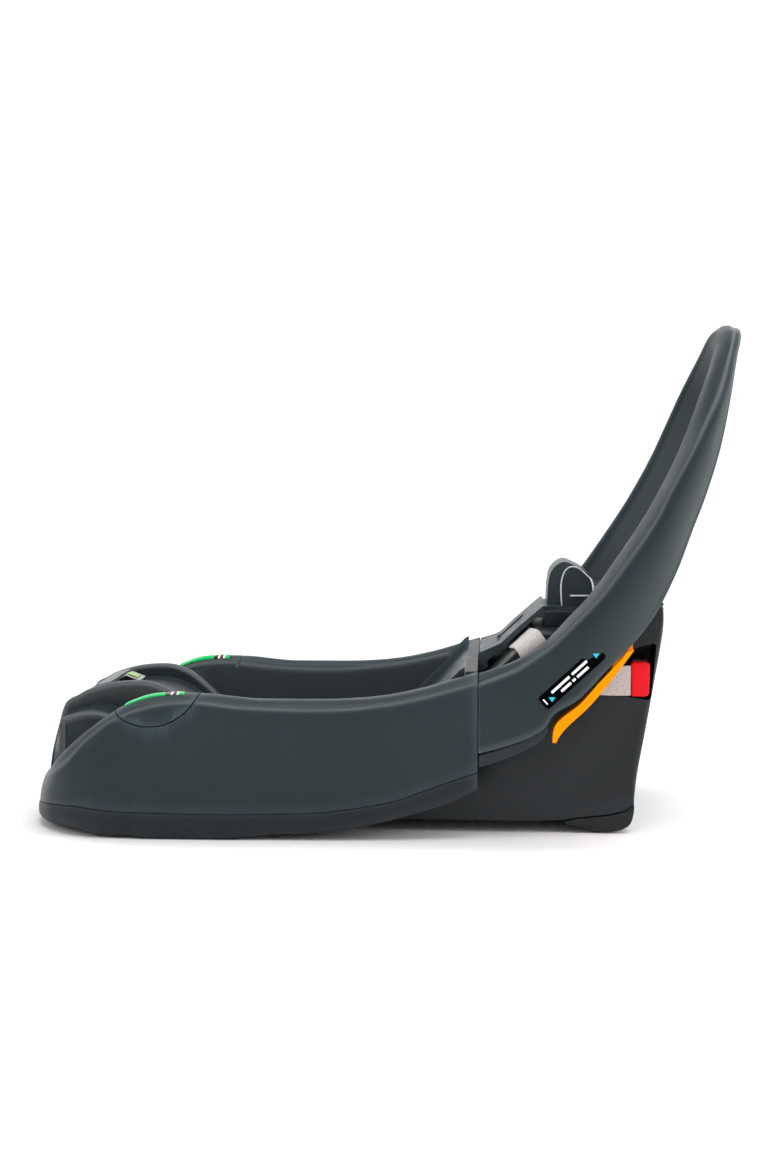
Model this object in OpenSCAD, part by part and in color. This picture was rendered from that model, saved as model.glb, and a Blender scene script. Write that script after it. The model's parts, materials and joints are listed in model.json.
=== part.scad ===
// Infant car seat base with a tall anti-rebound hoop.
// +X runs from the nose to the hoop, +Z is up, millimetres.

/* [Shells] */
// Half of the overall width
half_w = 186; // [184:0.5:186]
// Half of the width between the two rails
tub_half = 150; // [148:0.5:152]
// Wall thickness of the moulded shells
wall = 3; // [2.5:0.25:3.5]
// How far the outer edge of a rail lies below its inner edge
rail_drop = 9; // [6:0.5:10]
// Gap drawn at the seams between shells
seam = 0.3; // [0.2:0.05:0.5]

/* [Rear housing] */
// Half of the width of the rear housing
box_half = 130; // [128:0.5:132]
// Half of the width of the bridge over the belt path
bridge_half = 62; // [56:1:64]
// Radius of the bars that the carrier latches to
striker_r = 4; // [3:0.25:4.5]

/* [Levelling foot] */
// Radius of the pivot shaft of the levelling foot
pivot_r = 5; // [4:0.5:6]
// Number of notches on the levelling foot's ratchet
notches = 9; // [6:1:9]
// Radial running clearance of every pin in its bore
run_gap = 0.06; // [0.03:0.01:0.09]

/* [Lock-off levers] */
// Radius of the lock-off hinge pins
lever_pin_r = 2.5; // [2:0.25:3]

/* [LATCH connectors] */
// Webbing width
web_w = 31; // [28:1:32]
// Webbing thickness
web_t = 1.6; // [1.2:0.1:2]

/* [Hidden] */
$fn = 48;
eps = 0.5;
far = 400;
spline_steps = 4;

front_x = -372;
seam_x = 91.5;
lip = 2;
rail_tilt = atan(rail_drop / (half_w - tub_half - lip));
lens_centre = [-237, 168.5];
lens_r = 54;
strip_y = [151, 161];
foot_pivot = [40, 45];
rod_z = 36;
rod_y = 14;
crank_pivot = [-270, 68];
pawl_pivot = [205, 70];
sector_r = 150;
lever_pivot = [238, 203];
label_centre = [184, 167];
label_angle = 42.8;
latch_x = [248.8, 263.3];
latch_z = [140.6, 176];
latch_mouth = 128.5;
foot_half = 129.5;
button_hollow = [[-331.5, 90], [-331.5, 126.3], [-315.5, 136.4], [-303.5, 139.2], [-303.5, 90]];
button_half = 58;
screw_x = [-285, -150, -20];
screw_y = 168;
bolt_at = [122, 122];

// ---- curves -------------------------------------------------------------

function through(a, b, c, d, t) =
  0.5 * (2 * b + (c - a) * t + (2 * a - 5 * b + 4 * c - d) * t * t + (3 * b - 3 * c + d - a) * t * t * t);

// A smooth line through every point of p.
function spline(p, n = spline_steps) = [
  for (i = [0 : len(p) - 2])
    for (j = [0 : n - 1])
      through(p[max(i - 1, 0)], p[i], p[i + 1], p[min(i + 2, len(p) - 1)], j / n),
  p[len(p) - 1]
];

function unit(v) = v / norm(v);
function tangent(p, i) = unit(p[min(i + 1, len(p) - 1)] - p[max(i - 1, 0)]);

// The line p moved by d to the right of its direction of travel.
function beside(p, d) = [for (i = [0 : len(p) - 1]) p[i] + d * [tangent(p, i)[1], -tangent(p, i)[0]]];
function lowered(p, d) = [for (q = p) [q[0], q[1] - d]];
function reversed(p) = [for (i = [len(p) - 1 : -1 : 0]) p[i]];
function mirrored(p) = [for (q = p) [-q[0], q[1]]];
function flattened(p, k) = [for (q = p) [q[0], q[1] * k]];
function swapped(p) = [for (q = p) [q[1], q[0]]];
function head(p) = p[0];
function last(p) = p[len(p) - 1];

// ---- outlines, as [x, z] unless a note says otherwise --------------------

// Half of the plan outline as [x, y], from the seam round the nose to the centre line.
plan_half = concat(
  [[seam_x + 8, half_w]],
  spline([[-250, half_w], [-304, 179], [-341, 153], [-361.5, 112], [-370, 60], [front_x, 0]])
);

crest = spline([
  [-380, 40], [-366, 46], [-351, 60], [-335, 77], [-318, 94.5], [-298, 111], [-278, 125.5], [-258, 136.5],
  [-239, 142.5], [-203, 146], [-148, 141.8], [-87, 140], [-37, 141], [13, 147], [53, 156.5], [95, 168.5]
]);

parting = spline([
  [-376, 22], [-360, 25], [-343, 29], [-310, 30.7], [-280, 28.4], [-236, 27], [-178, 26.2], [-105, 27.5],
  [-59, 30], [2, 40], [32, 50], [62, 61], [93, 72]
]);

pan_bottom = concat(
  spline([[-376, 18], [-366, 8], [-345, 4.5], [-328, 3], [-312, 1]]),
  spline([[-150, 1], [-118, 3.5], [-45, 9.5], [10, 21], [55, 35], [80, 46], [87, 56]])
);

tub_floor = concat(
  [[-362, 46], [-330, 46]],
  spline([[-250, 58], [-180, 60], [-110, 46], [-50, 52], [0, 85], [44, 127], [76, 159]])
);

ridge_top = concat(
  [[-362, 50], [-359, 71.5], [-353, 95]],
  spline([[-344.5, 122.5], [-318, 138], [-290, 145.5], [-261, 147.5], [-243, 144], [-228, 135], [-203, 113], [-182, 84]])
);

channel_top = concat(
  [[-361, 50], [-352, 95]],
  spline([[-342, 112], [-318, 124], [-290, 130], [-262, 131], [-240, 125], [-215, 106], [-196, 84]])
);

side_step_top = concat(
  [[-354, 50], [-348.5, 79]],
  spline([[-340, 110], [-322, 118.5], [-305, 121], [-288, 118], [-262, 108], [-236, 88]])
);

hoop_crest = spline([
  [seam_x + seam, 167], [127, 181], [160, 203], [181, 225], [203, 249], [225, 280], [252, 321], [287, 384],
  [301, 420], [317, 458], [331, 495], [341, 513]
]);
hoop_top = [[347, 518.5], [356, 522], [366, 520], [372, 513]];
hoop_back = spline([
  [256, 220], [272, 241], [288, 273], [307.5, 322], [324, 371], [334.5, 410], [344.5, 449], [356, 490], [367, 508]
]);
hoop_lower = concat(
  [[seam_x + seam, 89]],
  spline([[123, 99], [150, 111], [165, 128], [192, 146], [210, 165], [233, 191], [243, 199], [256, 220]])
);

// Half of the hoop seen from the front, as [y, z].
hoop_outer_half = concat(
  [[half_w, 60]],
  spline([[half_w, 290], [184, 340], [177, 385], [168, 420], [150, 455], [128, 481], [98, 501], [60, 516], [0, 522]])
);
hoop_inner_half = concat(
  [[tub_half, 50]],
  spline([[tub_half, 290], [146, 340], [137, 385], [127, 420], [108, 455], [84, 477], [50, 490], [0, 494]])
);

box_top = [[8, 56], [44, 100], [92, 151], [150, 205], [215, 205], [215, 233], [274, 233]];
box_back = spline([[278.5, 228], [278, 206], [270, 157], [261, 103], [254, 64], [249.5, 31.5]]);
box_bottom = [[240, 25.1], [223, 21.1], [194, 17.8], [178, 15.2], [150, 12], [8, 12]];

tower_outer = spline([[163, 218], [164, 245], [168, 262], [180, 271], [193, 267], [206, 259], [214, 247]]);
rear_striker = [196, 238];

lever_outer = spline([[244.4, 194.3], [222.7, 164.5], [201.4, 138.6], [180.4, 118.6], [172.5, 109], [168.8, 101.9]]);
lever_inner = spline([[165.2, 102.2], [167, 117], [175, 127], [192, 140.5], [209.8, 161], [231.5, 184.5], [237, 192.4]]);

// ---- building blocks ------------------------------------------------------

// Extrudes an [x, z] outline from y0 to y1.
module along_y(y0, y1) {
  translate([0, y1, 0]) rotate([90, 0, 0]) linear_extrude(y1 - y0) children();
}

// Extrudes a [y, z] outline from x0 to x1.
module along_x(x0, x1) {
  translate([x0, 0, 0]) rotate([90, 0, 90]) linear_extrude(x1 - x0) children();
}

module block(low, high) {
  translate(low) cube(high - low);
}

module pin_y(at, r, y0, y1) {
  translate([at[0], y1, at[1]]) rotate([90, 0, 0]) cylinder(h = y1 - y0, r = r);
}

module rod_between(a, b, r) {
  d = b - a;
  translate(a)
    rotate([0, acos(d[2] / norm(d)), atan2(d[1], d[0])])
      cylinder(h = norm(d), r = r, $fn = 24);
}

module mirror_side(side) {
  if (side < 0) children();
  else mirror([0, 1, 0]) children();
}

// Everything inside the plan outline, inset by d.
module plan_prism(d = 0, z0 = -20, z1 = 260) {
  half = beside(plan_half, -d);
  pts = concat([[seam_x + 8, half[0][1]]], [for (q = half) if (q[0] < seam_x + 7 && q[1] > 1) q]);
  nose = [[front_x + d, 0]];
  translate([0, 0, z0])
    linear_extrude(z1 - z0)
      polygon(concat(pts, nose, [for (q = reversed(pts)) [q[0], -q[1]]]));
}

module side_block(from, x0 = -far, x1 = far, z0 = -50, z1 = 600) {
  for (s = [-1, 1])
    block([x0, s < 0 ? -220 : from, z0], [x1, s < 0 ? -from : 220, z1]);
}

module under(line, bottom = -40) {
  polygon(concat(line, [[last(line)[0], bottom], [head(line)[0], bottom]]));
}

module over(line, top = 320) {
  polygon(concat(line, [[last(line)[0], top], [head(line)[0], top]]));
}

// Under the sloping top band of both rails, lowered by d.
module rail_bands(d) {
  for (s = [-1, 1])
    mirror_side(s)
      translate([0, -tub_half - lip, 0])
        rotate([rail_tilt, 0, 0])
          along_y(-60, 60)
            under(flattened(lowered(crest, d), cos(rail_tilt)), -80);
}

module rail_envelope(d, inner) {
  intersection() {
    rail_bands(d);
    side_block(inner);
  }
}

module shell_solid() {
  intersection() {
    union() {
      rail_envelope(0, tub_half + lip);
      along_y(-tub_half - lip, tub_half + lip) under(crest);
    }
    plan_prism();
    along_y(-far, far) over(parting);
    block([-far, -far, -50], [seam_x, far, 400]);
  }
}

module rail_hollow() {
  intersection() {
    rail_envelope(wall, tub_half + wall);
    plan_prism(wall);
    block([-far, -far, -50], [seam_x - wall, far, 400]);
  }
}

module tub_hollow() {
  intersection() {
    along_y(-tub_half, tub_half)
      polygon(concat(tub_floor, [[76, 159], [100, 159], [100, 320], [-362, 320]]));
    plan_prism(wall + 1.5);
  }
}

module under_tub() {
  intersection() {
    along_y(-tub_half - wall, tub_half + wall)
      polygon(concat(lowered(tub_floor, wall), [[76, 156], [100, 156], [100, -30], [-362, -30]]));
    plan_prism(wall);
  }
}

module lens_disc(r) {
  for (s = [-1, 1])
    pin_y(lens_centre, r, s < 0 ? -half_w - 5 : tub_half - eps, s < 0 ? -tub_half + eps : half_w + 5);
}

module screw_bosses() {
  intersection() {
    shell_solid();
    union() {
      for (x = screw_x)
        for (s = [-1, 1])
          translate([x, s * screw_y, pan_floor_z(x) + 6]) cylinder(h = 200, r = 5);
    }
  }
}

module screw_holes(r) {
  for (x = screw_x)
    for (s = [-1, 1])
      translate([x, s * screw_y, -5]) cylinder(h = 56, r = r);
}

// ---- front half -----------------------------------------------------------

module front_shell() {
  color("#3c4649")
    difference() {
      union() {
        difference() {
          shell_solid();
          tub_hollow();
          under_tub();
          rail_hollow();
          lens_disc(lens_r);
        }
        screw_bosses();
      }
      screw_holes(2);
      block([-332, -24, 30], [-252, 24, 70]);
      bar_holes();
    }
}

module bar_holes() {
  pin_y([-168, 84], striker_r, -tub_half - wall, tub_half + wall);
}

module front_striker_bar() {
  color("#9a9d9e") pin_y([-168, 84], striker_r, -tub_half - wall, tub_half + wall);
}

module pan_shape(lift) {
  intersection() {
    along_y(-far, far)
      polygon(concat(lowered(pan_bottom, -lift), reversed(lowered(parting, seam))));
    plan_prism(lift);
    block([-far, -far, -50], [seam_x - lift, far, 400]);
  }
}

module base_pan() {
  color("#33393b")
    difference() {
      pan_shape(0);
      intersection() {
        translate([0, 0, 60]) pan_top_cut();
        plan_prism(wall);
        block([-far, -far, -50], [82, far, 400]);
      }
      block([2, -box_half - 1.5, -10], [100, box_half + 1.5, 120]);
      screw_holes(2.4);
      for (x = screw_x)
        for (s = [-1, 1])
          translate([x, s * screw_y, -5]) cylinder(h = pan_floor_z(x) + 6.5, r = 4.2);
      pad_strips(-1, 2.2);
    }
}

module pan_top_cut() {
  translate([0, 0, -60])
    along_y(-far, far) over(lowered(pan_bottom, -wall));
}

function pan_floor_z(x) = x < -100 ? 1 : 15;

module pad_strips(z0, z1) {
  for (s = [-1, 1])
    block([-310, s < 0 ? -112 : 72, z0], [-165, s < 0 ? -72 : 112, z1]);
}

module grip_pads() {
  color("#1c1d1e") pad_strips(0, 2.2);
}

module assembly_screws() {
  color("silver")
    for (x = screw_x)
      for (s = [-1, 1])
        translate([x, s * screw_y, pan_floor_z(x)]) {
          cylinder(h = 1.5, r = 3.8);
          cylinder(h = 34, r = 2);
        }
}

// ---- nose console -----------------------------------------------------------

module console_prism(line, y0, y1) {
  end = last(line);
  for (s = [-1, 1])
    mirror_side(s)
      along_y(-y1, -y0)
        polygon(concat(line, [[end[0], 62], [-250, 60.5], [-330, 46.6], [head(line)[0], 46.6]]));
}

module nose_console() {
  color("#333b3e")
    difference() {
      intersection() {
        union() {
          console_prism(channel_top, 0, 69);
          console_prism(ridge_top, 68, 84);
          console_prism(side_step_top, 83, 130);
        }
        plan_prism(wall + 2);
      }
      console_hollow(channel_top, -65, 65);
      for (s = [-1, 1])
        mirror_side(s) {
          console_hollow(ridge_top, -81, -71);
          console_hollow(side_step_top, -131, -87);
        }
      block([-334.4, -button_half - 0.6, 90], [-300.4, button_half + 0.6, 160]);
      block([-299.5, -20.5, 122], [-276.5, 20.5, 160]);
    }
}

module console_hollow(line, y0, y1) {
  low = [for (q = lowered(line, wall)) if (q[0] > -353 && q[1] > 70) q + [2.5, 0]];
  intersection() {
    along_y(y0, y1) polygon(concat(low, [[last(low)[0] - 6, 66], [-232, 30], [-349, 30]]));
    plan_prism(wall + 5);
  }
}

module level_indicator() {
  color("#7fbf3c")
    along_y(-20, 20) polygon([[-299, 122.5], [-299, 141.5], [-292, 145], [-277, 139], [-277, 122.5]]);
}

module release_button() {
  color("#6a7072") {
    difference() {
      along_y(-button_half, button_half)
        polygon([[-334, 104], [-334, 128.5], [-316, 139.5], [-301, 143], [-301, 104]]);
      for (s = [-1, 1])
        mirror_side(s) {
          along_y(-36, -7) polygon(button_hollow);
          along_y(-55.5, -49) polygon(button_hollow);
        }
    }
    block([-322, -4, 72.2], [-318, 4, 106]);
  }
}

module coil(at, r, wire, z0, z1, turns) {
  pitch = (z1 - z0 - 2 * wire) / turns;
  for (i = [0 : turns])
    translate([at[0], at[1], z0 + wire + i * pitch])
      rotate_extrude($fn = 32) translate([r, 0]) circle(r = wire, $fn = 16);
}

module button_spring() {
  color("silver")
    for (s = [-1, 1])
      coil([-318, s * 42], 4, 0.7, 49.5, 103.7, 7);
}

module bellcrank_pin() {
  color("silver") pin_y(crank_pivot, 2.5, -22, 22);
}

module bellcrank() {
  color("#555b5d")
    difference() {
      union() {
        pin_y(crank_pivot, 7, -4, 18);
        along_y(-4, 4)
          polygon([[-270, 62], [-320, 67], [-322, 69], [-320, 71], [-270, 75]]);
        along_y(10, 18)
          polygon([[-276, 66], [-274, 31], [-266, 31], [-264, 66]]);
      }
      pin_y(crank_pivot, 2.5 + run_gap, -30, 30);
      along_y(9, 19) polygon([[-272.4, 32], [-267.6, 32], [-267.6, 40], [-272.4, 40]]);
    }
}

module release_rod() {
  color("silver") {
    rod_between([-286, rod_y + 12, rod_z], [pawl_pivot[0] + 10, rod_y + 12, rod_z], 2);
    for (x = [crank_pivot[0], pawl_pivot[0]])
      pin_y([x, rod_z], 2, rod_y - 5, rod_y + 13);
  }
}

// ---- rail inserts -----------------------------------------------------------

module bubble_cap(side) {
  color("#454f52")
    intersection() {
      difference() {
        shell_solid();
        tub_hollow();
        rail_hollow();
        strip_block(-264, -201, -3, 12);
      }
      mirror_side(side) pin_y(lens_centre, lens_r - seam, -half_w - 5, -tub_half + eps);
    }
}

// A slice of both rails' crests from x0 to x1, from low to high above the crest line.
module strip_block(x0, x1, low, high) {
  for (s = [-1, 1])
    mirror_side(s)
      intersection() {
        along_y(-strip_y[1], -strip_y[0])
          polygon(concat(lowered(crest, -high), reversed(lowered(crest, -low))));
        block([x0, -220, 0], [x1, 0, 300]);
      }
}

module one_side(side) {
  intersection() {
    children();
    mirror_side(side) block([-far, -220, -50], [far, -1, 600]);
  }
}

module level_strip(side) {
  color("#14be50") one_side(side) strip_block(-264, -222, -3, 0.8);
}

module level_vial(side) {
  color("#1b1c1d") one_side(side) strip_block(-222, -201, -3, 0.8);
}

module crossbar() {
  color("#7c8284") block([78.5, -tub_half, 159.2], [91, tub_half, 168]);
}

// ---- rear housing -----------------------------------------------------------

box_outline = concat(box_top, box_back, box_bottom);
box_inner_outline = concat(
  [[11, 54.5], [46, 98], [94, 148.7], [151.5, 202], [218, 202], [218, 230], [273, 230]],
  beside(box_back, wall),
  [[240, -20], [88, -20], [88, 15], [11, 15]]
);

module latch_window(grow = 0) {
  along_y(-200, 200)
    polygon([[216 - grow, 146], [244.5, 140.5 - grow], [266, 137 - grow], [271.5, 196], [249, 190 + grow]]);
}

module side_ribs() {
  for (s = [-1, 1])
    mirror_side(s) {
      for (z = [102, 132])
        block([100, -tub_half, z], [146, -box_half + eps, z + wall]);
      pin_y(bolt_at, 8, -tub_half, -box_half + eps);
    }
}

module rear_housing() {
  color("#1e2123")
    difference() {
      union() {
        difference() {
          along_y(-box_half, box_half) polygon(box_outline);
          along_y(-box_half + wall, box_half - wall) polygon(box_inner_outline);
        }
        side_ribs();
        // Dock floors behind the windows carry the stored connectors.
        for (s = [-1, 1])
          mirror_side(s) {
            block([245, -box_half + 1, 134.5], [262, -70, 138.5]);
            block([245, -box_half + 1, 138], [247.5, -70, 182]);
          }
      }
      difference() {
        latch_window();
        block([-far, -68, 0], [far, 68, 300]);
        along_y(-box_half + wall + eps, box_half - wall - eps) polygon(box_outline);
      }
      pin_y(foot_pivot, pivot_r, -200, 200);
      for (s = [-1, 1])
        mirror_side(s) pin_y(bolt_at, 3, -tub_half - 1, -box_half - 1);
      block([4, rod_y + 8, rod_z - 4], [14, rod_y + 16, rod_z + 4]);
    }
}

module rear_deck() {
  color("#26292b") {
    difference() {
      along_y(-box_half, box_half)
        polygon([[213, 233.3], [213, 241], [273, 241], [277.5, 236], [278.3, 233.3]]);
      block([220, -110, 230], [268, 110, 238]);
    }
    difference() {
      block([160, -65, 205], [212, 65, 221]);
      block([163, -62, 200], [209, 62, 218]);
    }
  }
}

module belt_bridge() {
  color("#3a3f41")
    difference() {
      union() {
        along_y(-bridge_half, bridge_half)
          polygon([[92, 160], [92, 177], [114, 187], [132, 204], [157.5, 226], [160, 226.5], [160, 214], [151, 214]]);
        for (s = [-1, 1])
          mirror_side(s) block([95, -bridge_half, 154.5], [101, -bridge_half + 8, 166]);
      }
      along_y(-26, 26) polygon([[112, 183.4], [138, 207.5], [141, 214], [108, 190]]);
      along_y(-70, 70) polygon([[90, 154], [90, 148], [102, 148], [102, 162]]);
    }
}

module latch_tower() {
  color("#2f3436")
    difference() {
      union() {
        along_y(-34, 34)
          polygon(concat(tower_outer, reversed(beside(tower_outer, 5))));
        for (s = [-1, 1])
          mirror_side(s)
            along_y(-34, -31) polygon(concat(beside(tower_outer, 2), [[212, 221], [165, 221]]));
        block([160, -46, 221], [212, 46, 225]);
      }
      block([184, -30, 220], [200, 30, 226]);
      block([150, -60, 200], [230, 60, 221]);
      pin_y(rear_striker, striker_r, -60, 60);
    }
}

module tower_fin(side) {
  color("#c9cccd")
    mirror_side(side)
      difference() {
        along_y(-43, -38)
          polygon(spline([
            [178.6, 225.2], [177.6, 246], [180.6, 259.8], [187, 266], [195.5, 265], [204, 258], [210.5, 249], [211.5, 225.2]
          ]));
        pin_y(rear_striker, striker_r, -60, 0);
      }
}

module rear_striker_bar() {
  color("silver") pin_y(rear_striker, striker_r, -43, 43);
}

// ---- hoop -------------------------------------------------------------------

module hoop_side(line, top, back, low) {
  polygon(concat(line, top, reversed(back), reversed(low)));
}

module hoop_ring(d, x0 = 60, x1 = 400) {
  outer = beside(hoop_outer_half, -d);
  inner = beside(hoop_inner_half, d);
  outer_fixed = [for (q = outer) if (q[0] > 1) q];
  inner_fixed = [for (q = inner) if (q[0] > 1) q];
  along_x(x0, x1)
    polygon(concat(
      outer_fixed, [[0, 522 - d]], reversed(mirrored(outer_fixed)),
      mirrored(inner_fixed), [[0, 494 + d]], reversed(inner_fixed)
    ));
}

module hoop_solid() {
  intersection() {
    along_y(-far, far) hoop_side(hoop_crest, hoop_top, hoop_back, hoop_lower);
    hoop_ring(0);
  }
}

module hoop_hollow() {
  line = beside(hoop_crest, wall);
  intersection() {
    along_y(-far, far)
      polygon(concat(
        [[seam_x + wall, 150]], [for (q = line) if (q[0] > seam_x + wall + 1) q], [[354, 516]],
        [[400, 516], [400, 400], [290, 180], [170, 90], [seam_x + wall, 70]]
      ));
    hoop_ring(wall);
  }
}

module label_outline(grow = 0) {
  translate(label_centre)
    rotate(label_angle) {
      square([78.5 + 2 * grow, 9.5], center = true);
      square([72.5, 15.5 + 2 * grow], center = true);
      for (sx = [-1, 1])
        for (sy = [-1, 1])
          translate([sx * 36.25, sy * 4.75]) circle(r = 3 + grow, $fn = 24);
    }
}

module hoop_shell() {
  color("#3f494c")
    difference() {
      hoop_solid();
      hoop_hollow();
      for (s = [-1, 1])
        mirror_side(s) {
          along_y(-half_w - 1, -half_w + 0.6) label_outline();
          pin_y(lever_pivot, lever_pin_r, -half_w + 1, -tub_half + 1);
          pin_y(bolt_at, 3, -tub_half - wall - 1, -tub_half + 1);
        }
    }
}

module hoop_back_cover() {
  line = [for (q = hoop_back) if (q[1] > 232) q];
  color("#2c3234")
    intersection() {
      along_y(-far, far)
        polygon(concat(beside(line, -wall), reversed(line)));
      hoop_ring(wall + seam);
    }
}

function hoop_mid_x(z) = (lookup(z, swapped(hoop_crest)) + lookup(z, swapped(hoop_back))) / 2;

tube_line = [
  [168, 235], [168, 290], [165, 340], [157, 385], [147, 420], [129, 455], [105, 480], [75, 496], [40, 504], [0, 507]
];

// One ring of n points of radius r round p, square to the direction t.
function ring_round(p, t, r, n) =
  let (u = unit(cross(t, [1, 0, 0])), v = cross(t, u))
  [for (k = [0 : n - 1]) p + r * (u * cos(360 * k / n) + v * sin(360 * k / n))];

module swept_tube(path, r, n = 12) {
  count = len(path);
  rings = [for (i = [0 : count - 1]) each ring_round(path[i], tangent(path, i), r, n)];
  sides = [
    for (i = [0 : count - 2])
      for (k = [0 : n - 1])
        let (m = (k + 1) % n) [i * n + k, i * n + m, (i + 1) * n + m, (i + 1) * n + k]
  ];
  caps = [[for (k = [n - 1 : -1 : 0]) k], [for (k = [0 : n - 1]) (count - 1) * n + k]];
  polyhedron(points = rings, faces = concat(sides, caps), convexity = 6);
}

module hoop_tube() {
  arch = [for (q = tube_line) [min(hoop_mid_x(q[1]), 352), q[0], q[1]]];
  leg = concat([[176, 168, 172]], arch);
  other_leg = [for (q = reversed(leg)) if (q[1] > 0) [q[0], -q[1], q[2]]];
  color("#8d9193") swept_tube(spline(concat(leg, other_leg), 3), 5);
}

module hoop_bolts() {
  color("silver")
    for (s = [-1, 1])
      mirror_side(s) {
        pin_y(bolt_at, 3, -tub_half - wall, -box_half - 1);
        translate([bolt_at[0], -tub_half - wall, bolt_at[1]])
          rotate([90, 0, 0]) cylinder(h = 4, r = 5.8, $fn = 6);
      }
}

module hoop_trim(side) {
  top = lowered([for (q = hoop_lower) if (q[0] < 160) q], seam);
  color("#2b2f31")
    mirror_side(side)
      along_y(-half_w + 1, -tub_half)
        polygon(concat(top, [[160, 113], [156, 106], [144, 96], [116, 84], [seam_x + seam, 76]]));
}

module belt_label(side) {
  color("#0d0e0f") mirror_side(side) along_y(-half_w, -half_w + 0.6) label_outline();
}

// ---- lock-off levers ----------------------------------------------------------

module lever_pin(side) {
  color("silver") mirror_side(side) pin_y(lever_pivot, lever_pin_r, -half_w + 1, -tub_half);
}

module lever_spring(side) {
  color("silver")
    mirror_side(side)
      translate([lever_pivot[0], 0, lever_pivot[1]])
        rotate([90, 0, 0])
          for (i = [0 : 2])
            translate([0, 0, tub_half + wall + 1.2 + i * 1.5])
              rotate_extrude($fn = 32) translate([lever_pin_r + 1.2, 0]) circle(r = 0.6, $fn = 16);
}

module lock_off_lever(side) {
  color("#ff9a00")
    mirror_side(side)
      difference() {
        union() {
          along_y(-half_w, -156) polygon(concat(lever_outer, lever_inner));
          along_y(-half_w + wall + 0.5, -160)
            polygon([[222, 172], [232, 206], [243, 206], [243.5, 193]]);
          pin_y(lever_pivot, 5.8, -half_w + wall + 0.5, -160);
        }
        pin_y(lever_pivot, lever_pin_r + run_gap, -200, -100);
      }
}

// ---- LATCH connectors -----------------------------------------------------------

module slope_slab(y0, y1, x0, x1, lift, thick) {
  slope = (205 - 151) / (150 - 92);
  z0 = 151 + slope * (x0 - 92) + lift;
  z1 = 151 + slope * (x1 - 92) + lift;
  along_y(y0, y1) polygon([[x0, z0], [x1, z1], [x1 - thick * 0.7, z1 + thick], [x0 - thick * 0.7, z0 + thick]]);
}

module anchor_webbing() {
  reach = box_half + seam;
  color("#c8beba") {
    slope_slab(-reach, reach, 124, 146.5, 0.4, web_t);
    for (s = [-1, 1])
      mirror_side(s)
        along_y(-reach - web_t, -reach)
          polygon(concat(
            spline([[145.5, 204.5], [160, 192], [182, 178], [212, 172.5], [248.5, 172]]),
            spline([[248.5, 172 - web_w], [205, 142], [172, 150], [150, 163], [123, 183]])
          ));
  }
}

module connector_body(side) {
  color("#c8beba")
    mirror_side(side)
      difference() {
        block([latch_x[0], -112, latch_z[0]], [latch_x[1], -80, latch_z[1]]);
        block([latch_x[0] + 3, -120, latch_z[0] + 4], [latch_x[1] - 3, -84, latch_z[1] - 4]);
        pin_y([257.5, 150], 2.1, -90, -70);
      }
  color("silver")
    mirror_side(side) {
      block([latch_x[0] + 3.5, -84, 164], [latch_x[1] - 3.5, -72, 170]);
      pin_y([257.5, 150], 2, -84, -72);
    }
}

module connector_button(side) {
  color("#dc1420")
    mirror_side(side)
      difference() {
        union() {
          block([latch_x[0], -latch_mouth - 1.5, latch_z[0]], [latch_x[1], -117, latch_z[1]]);
          block([latch_x[0] + 3.4, -118, latch_z[0] + 4.4], [latch_x[1] - 3.4, -106, latch_z[1] - 4.4]);
        }
        block([latch_x[0] + 6, -125, latch_z[0] + 8], [latch_x[1] - 6, -100, latch_z[1] - 8]);
      }
}

module connector_jaw(side) {
  color("silver")
    mirror_side(side)
      difference() {
        union() {
          pin_y([257.5, 150], 4.5, -78, -73);
          along_y(-78, -73) polygon([[253, 150], [254, 162], [261, 162], [262, 150]]);
        }
        pin_y([257.5, 150], 2 + run_gap, -100, -60);
      }
}

// ---- levelling foot ---------------------------------------------------------------

module foot_pivot_shaft() {
  color("silver") pin_y(foot_pivot, pivot_r, -box_half, box_half);
}

module foot_frame() {
  color("#3a3d3f")
    difference() {
      union() {
        for (s = [-1, 1])
          mirror_side(s)
            along_y(-104, -96)
              polygon([[40, 33], [90, 27], [150, 20], [196, 18.6], [236, 24.6], [238, 58], [180, 60], [40, 57]]);
        for (s = [-1, 1])
          mirror_side(s) pin_y(foot_pivot, 12, -106, -94);
        along_y(-97, 97) polygon([[184, 15.4], [222, 20.3], [222, 24], [184, 20]]);
        along_y(-97, 97) polygon([[229, 23], [236, 25], [236, 50], [229, 50]]);
        ratchet_sector();
      }
      pin_y(foot_pivot, pivot_r + run_gap, -200, 200);
    }
}

module ratchet_sector() {
  step = 32 / notches;
  arc = [for (i = [0 : 2 * notches]) let (a = -10 + i * step / 2, r = sector_r + (i % 2 == 0 ? -1 : 1.4))
    foot_pivot + r * [cos(a), sin(a)]];
  inner = [for (i = [0 : 16]) let (a = 22 - i * 2) foot_pivot + 140 * [cos(a), sin(a)]];
  along_y(-4, 4) polygon(concat(arc, inner));
}

module foot_shoe() {
  color("#26292a")
    difference() {
      along_y(-foot_half, foot_half)
        polygon([
          [179, 13.8], [194, 16.6], [223, 19.9], [240, 23.9], [249.6, 30.6], [249, 20], [246, 11], [240, 6],
          [233, 2.6], [222, 1], [208, 1], [194, 5], [180, 10.6]
        ]);
      block([206, -100, -1], [232, 100, 3]);
    }
}

module foot_pad() {
  color("#161718") block([206, -100, 0], [232, 100, 3]);
}

module pawl_pin() {
  color("silver") pin_y(pawl_pivot, 3, -24, 24);
}

module pawl_bracket() {
  color("#8d9193")
    difference() {
      union() {
        for (s = [-1, 1])
          mirror_side(s)
            along_y(-24, -21) polygon([[197, 60], [197, 201.8], [213, 201.8], [213, 60]]);
        block([197, -24, 198], [213, 24, 201.8]);
      }
      pin_y(pawl_pivot, 3, -40, 40);
    }
}

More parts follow.
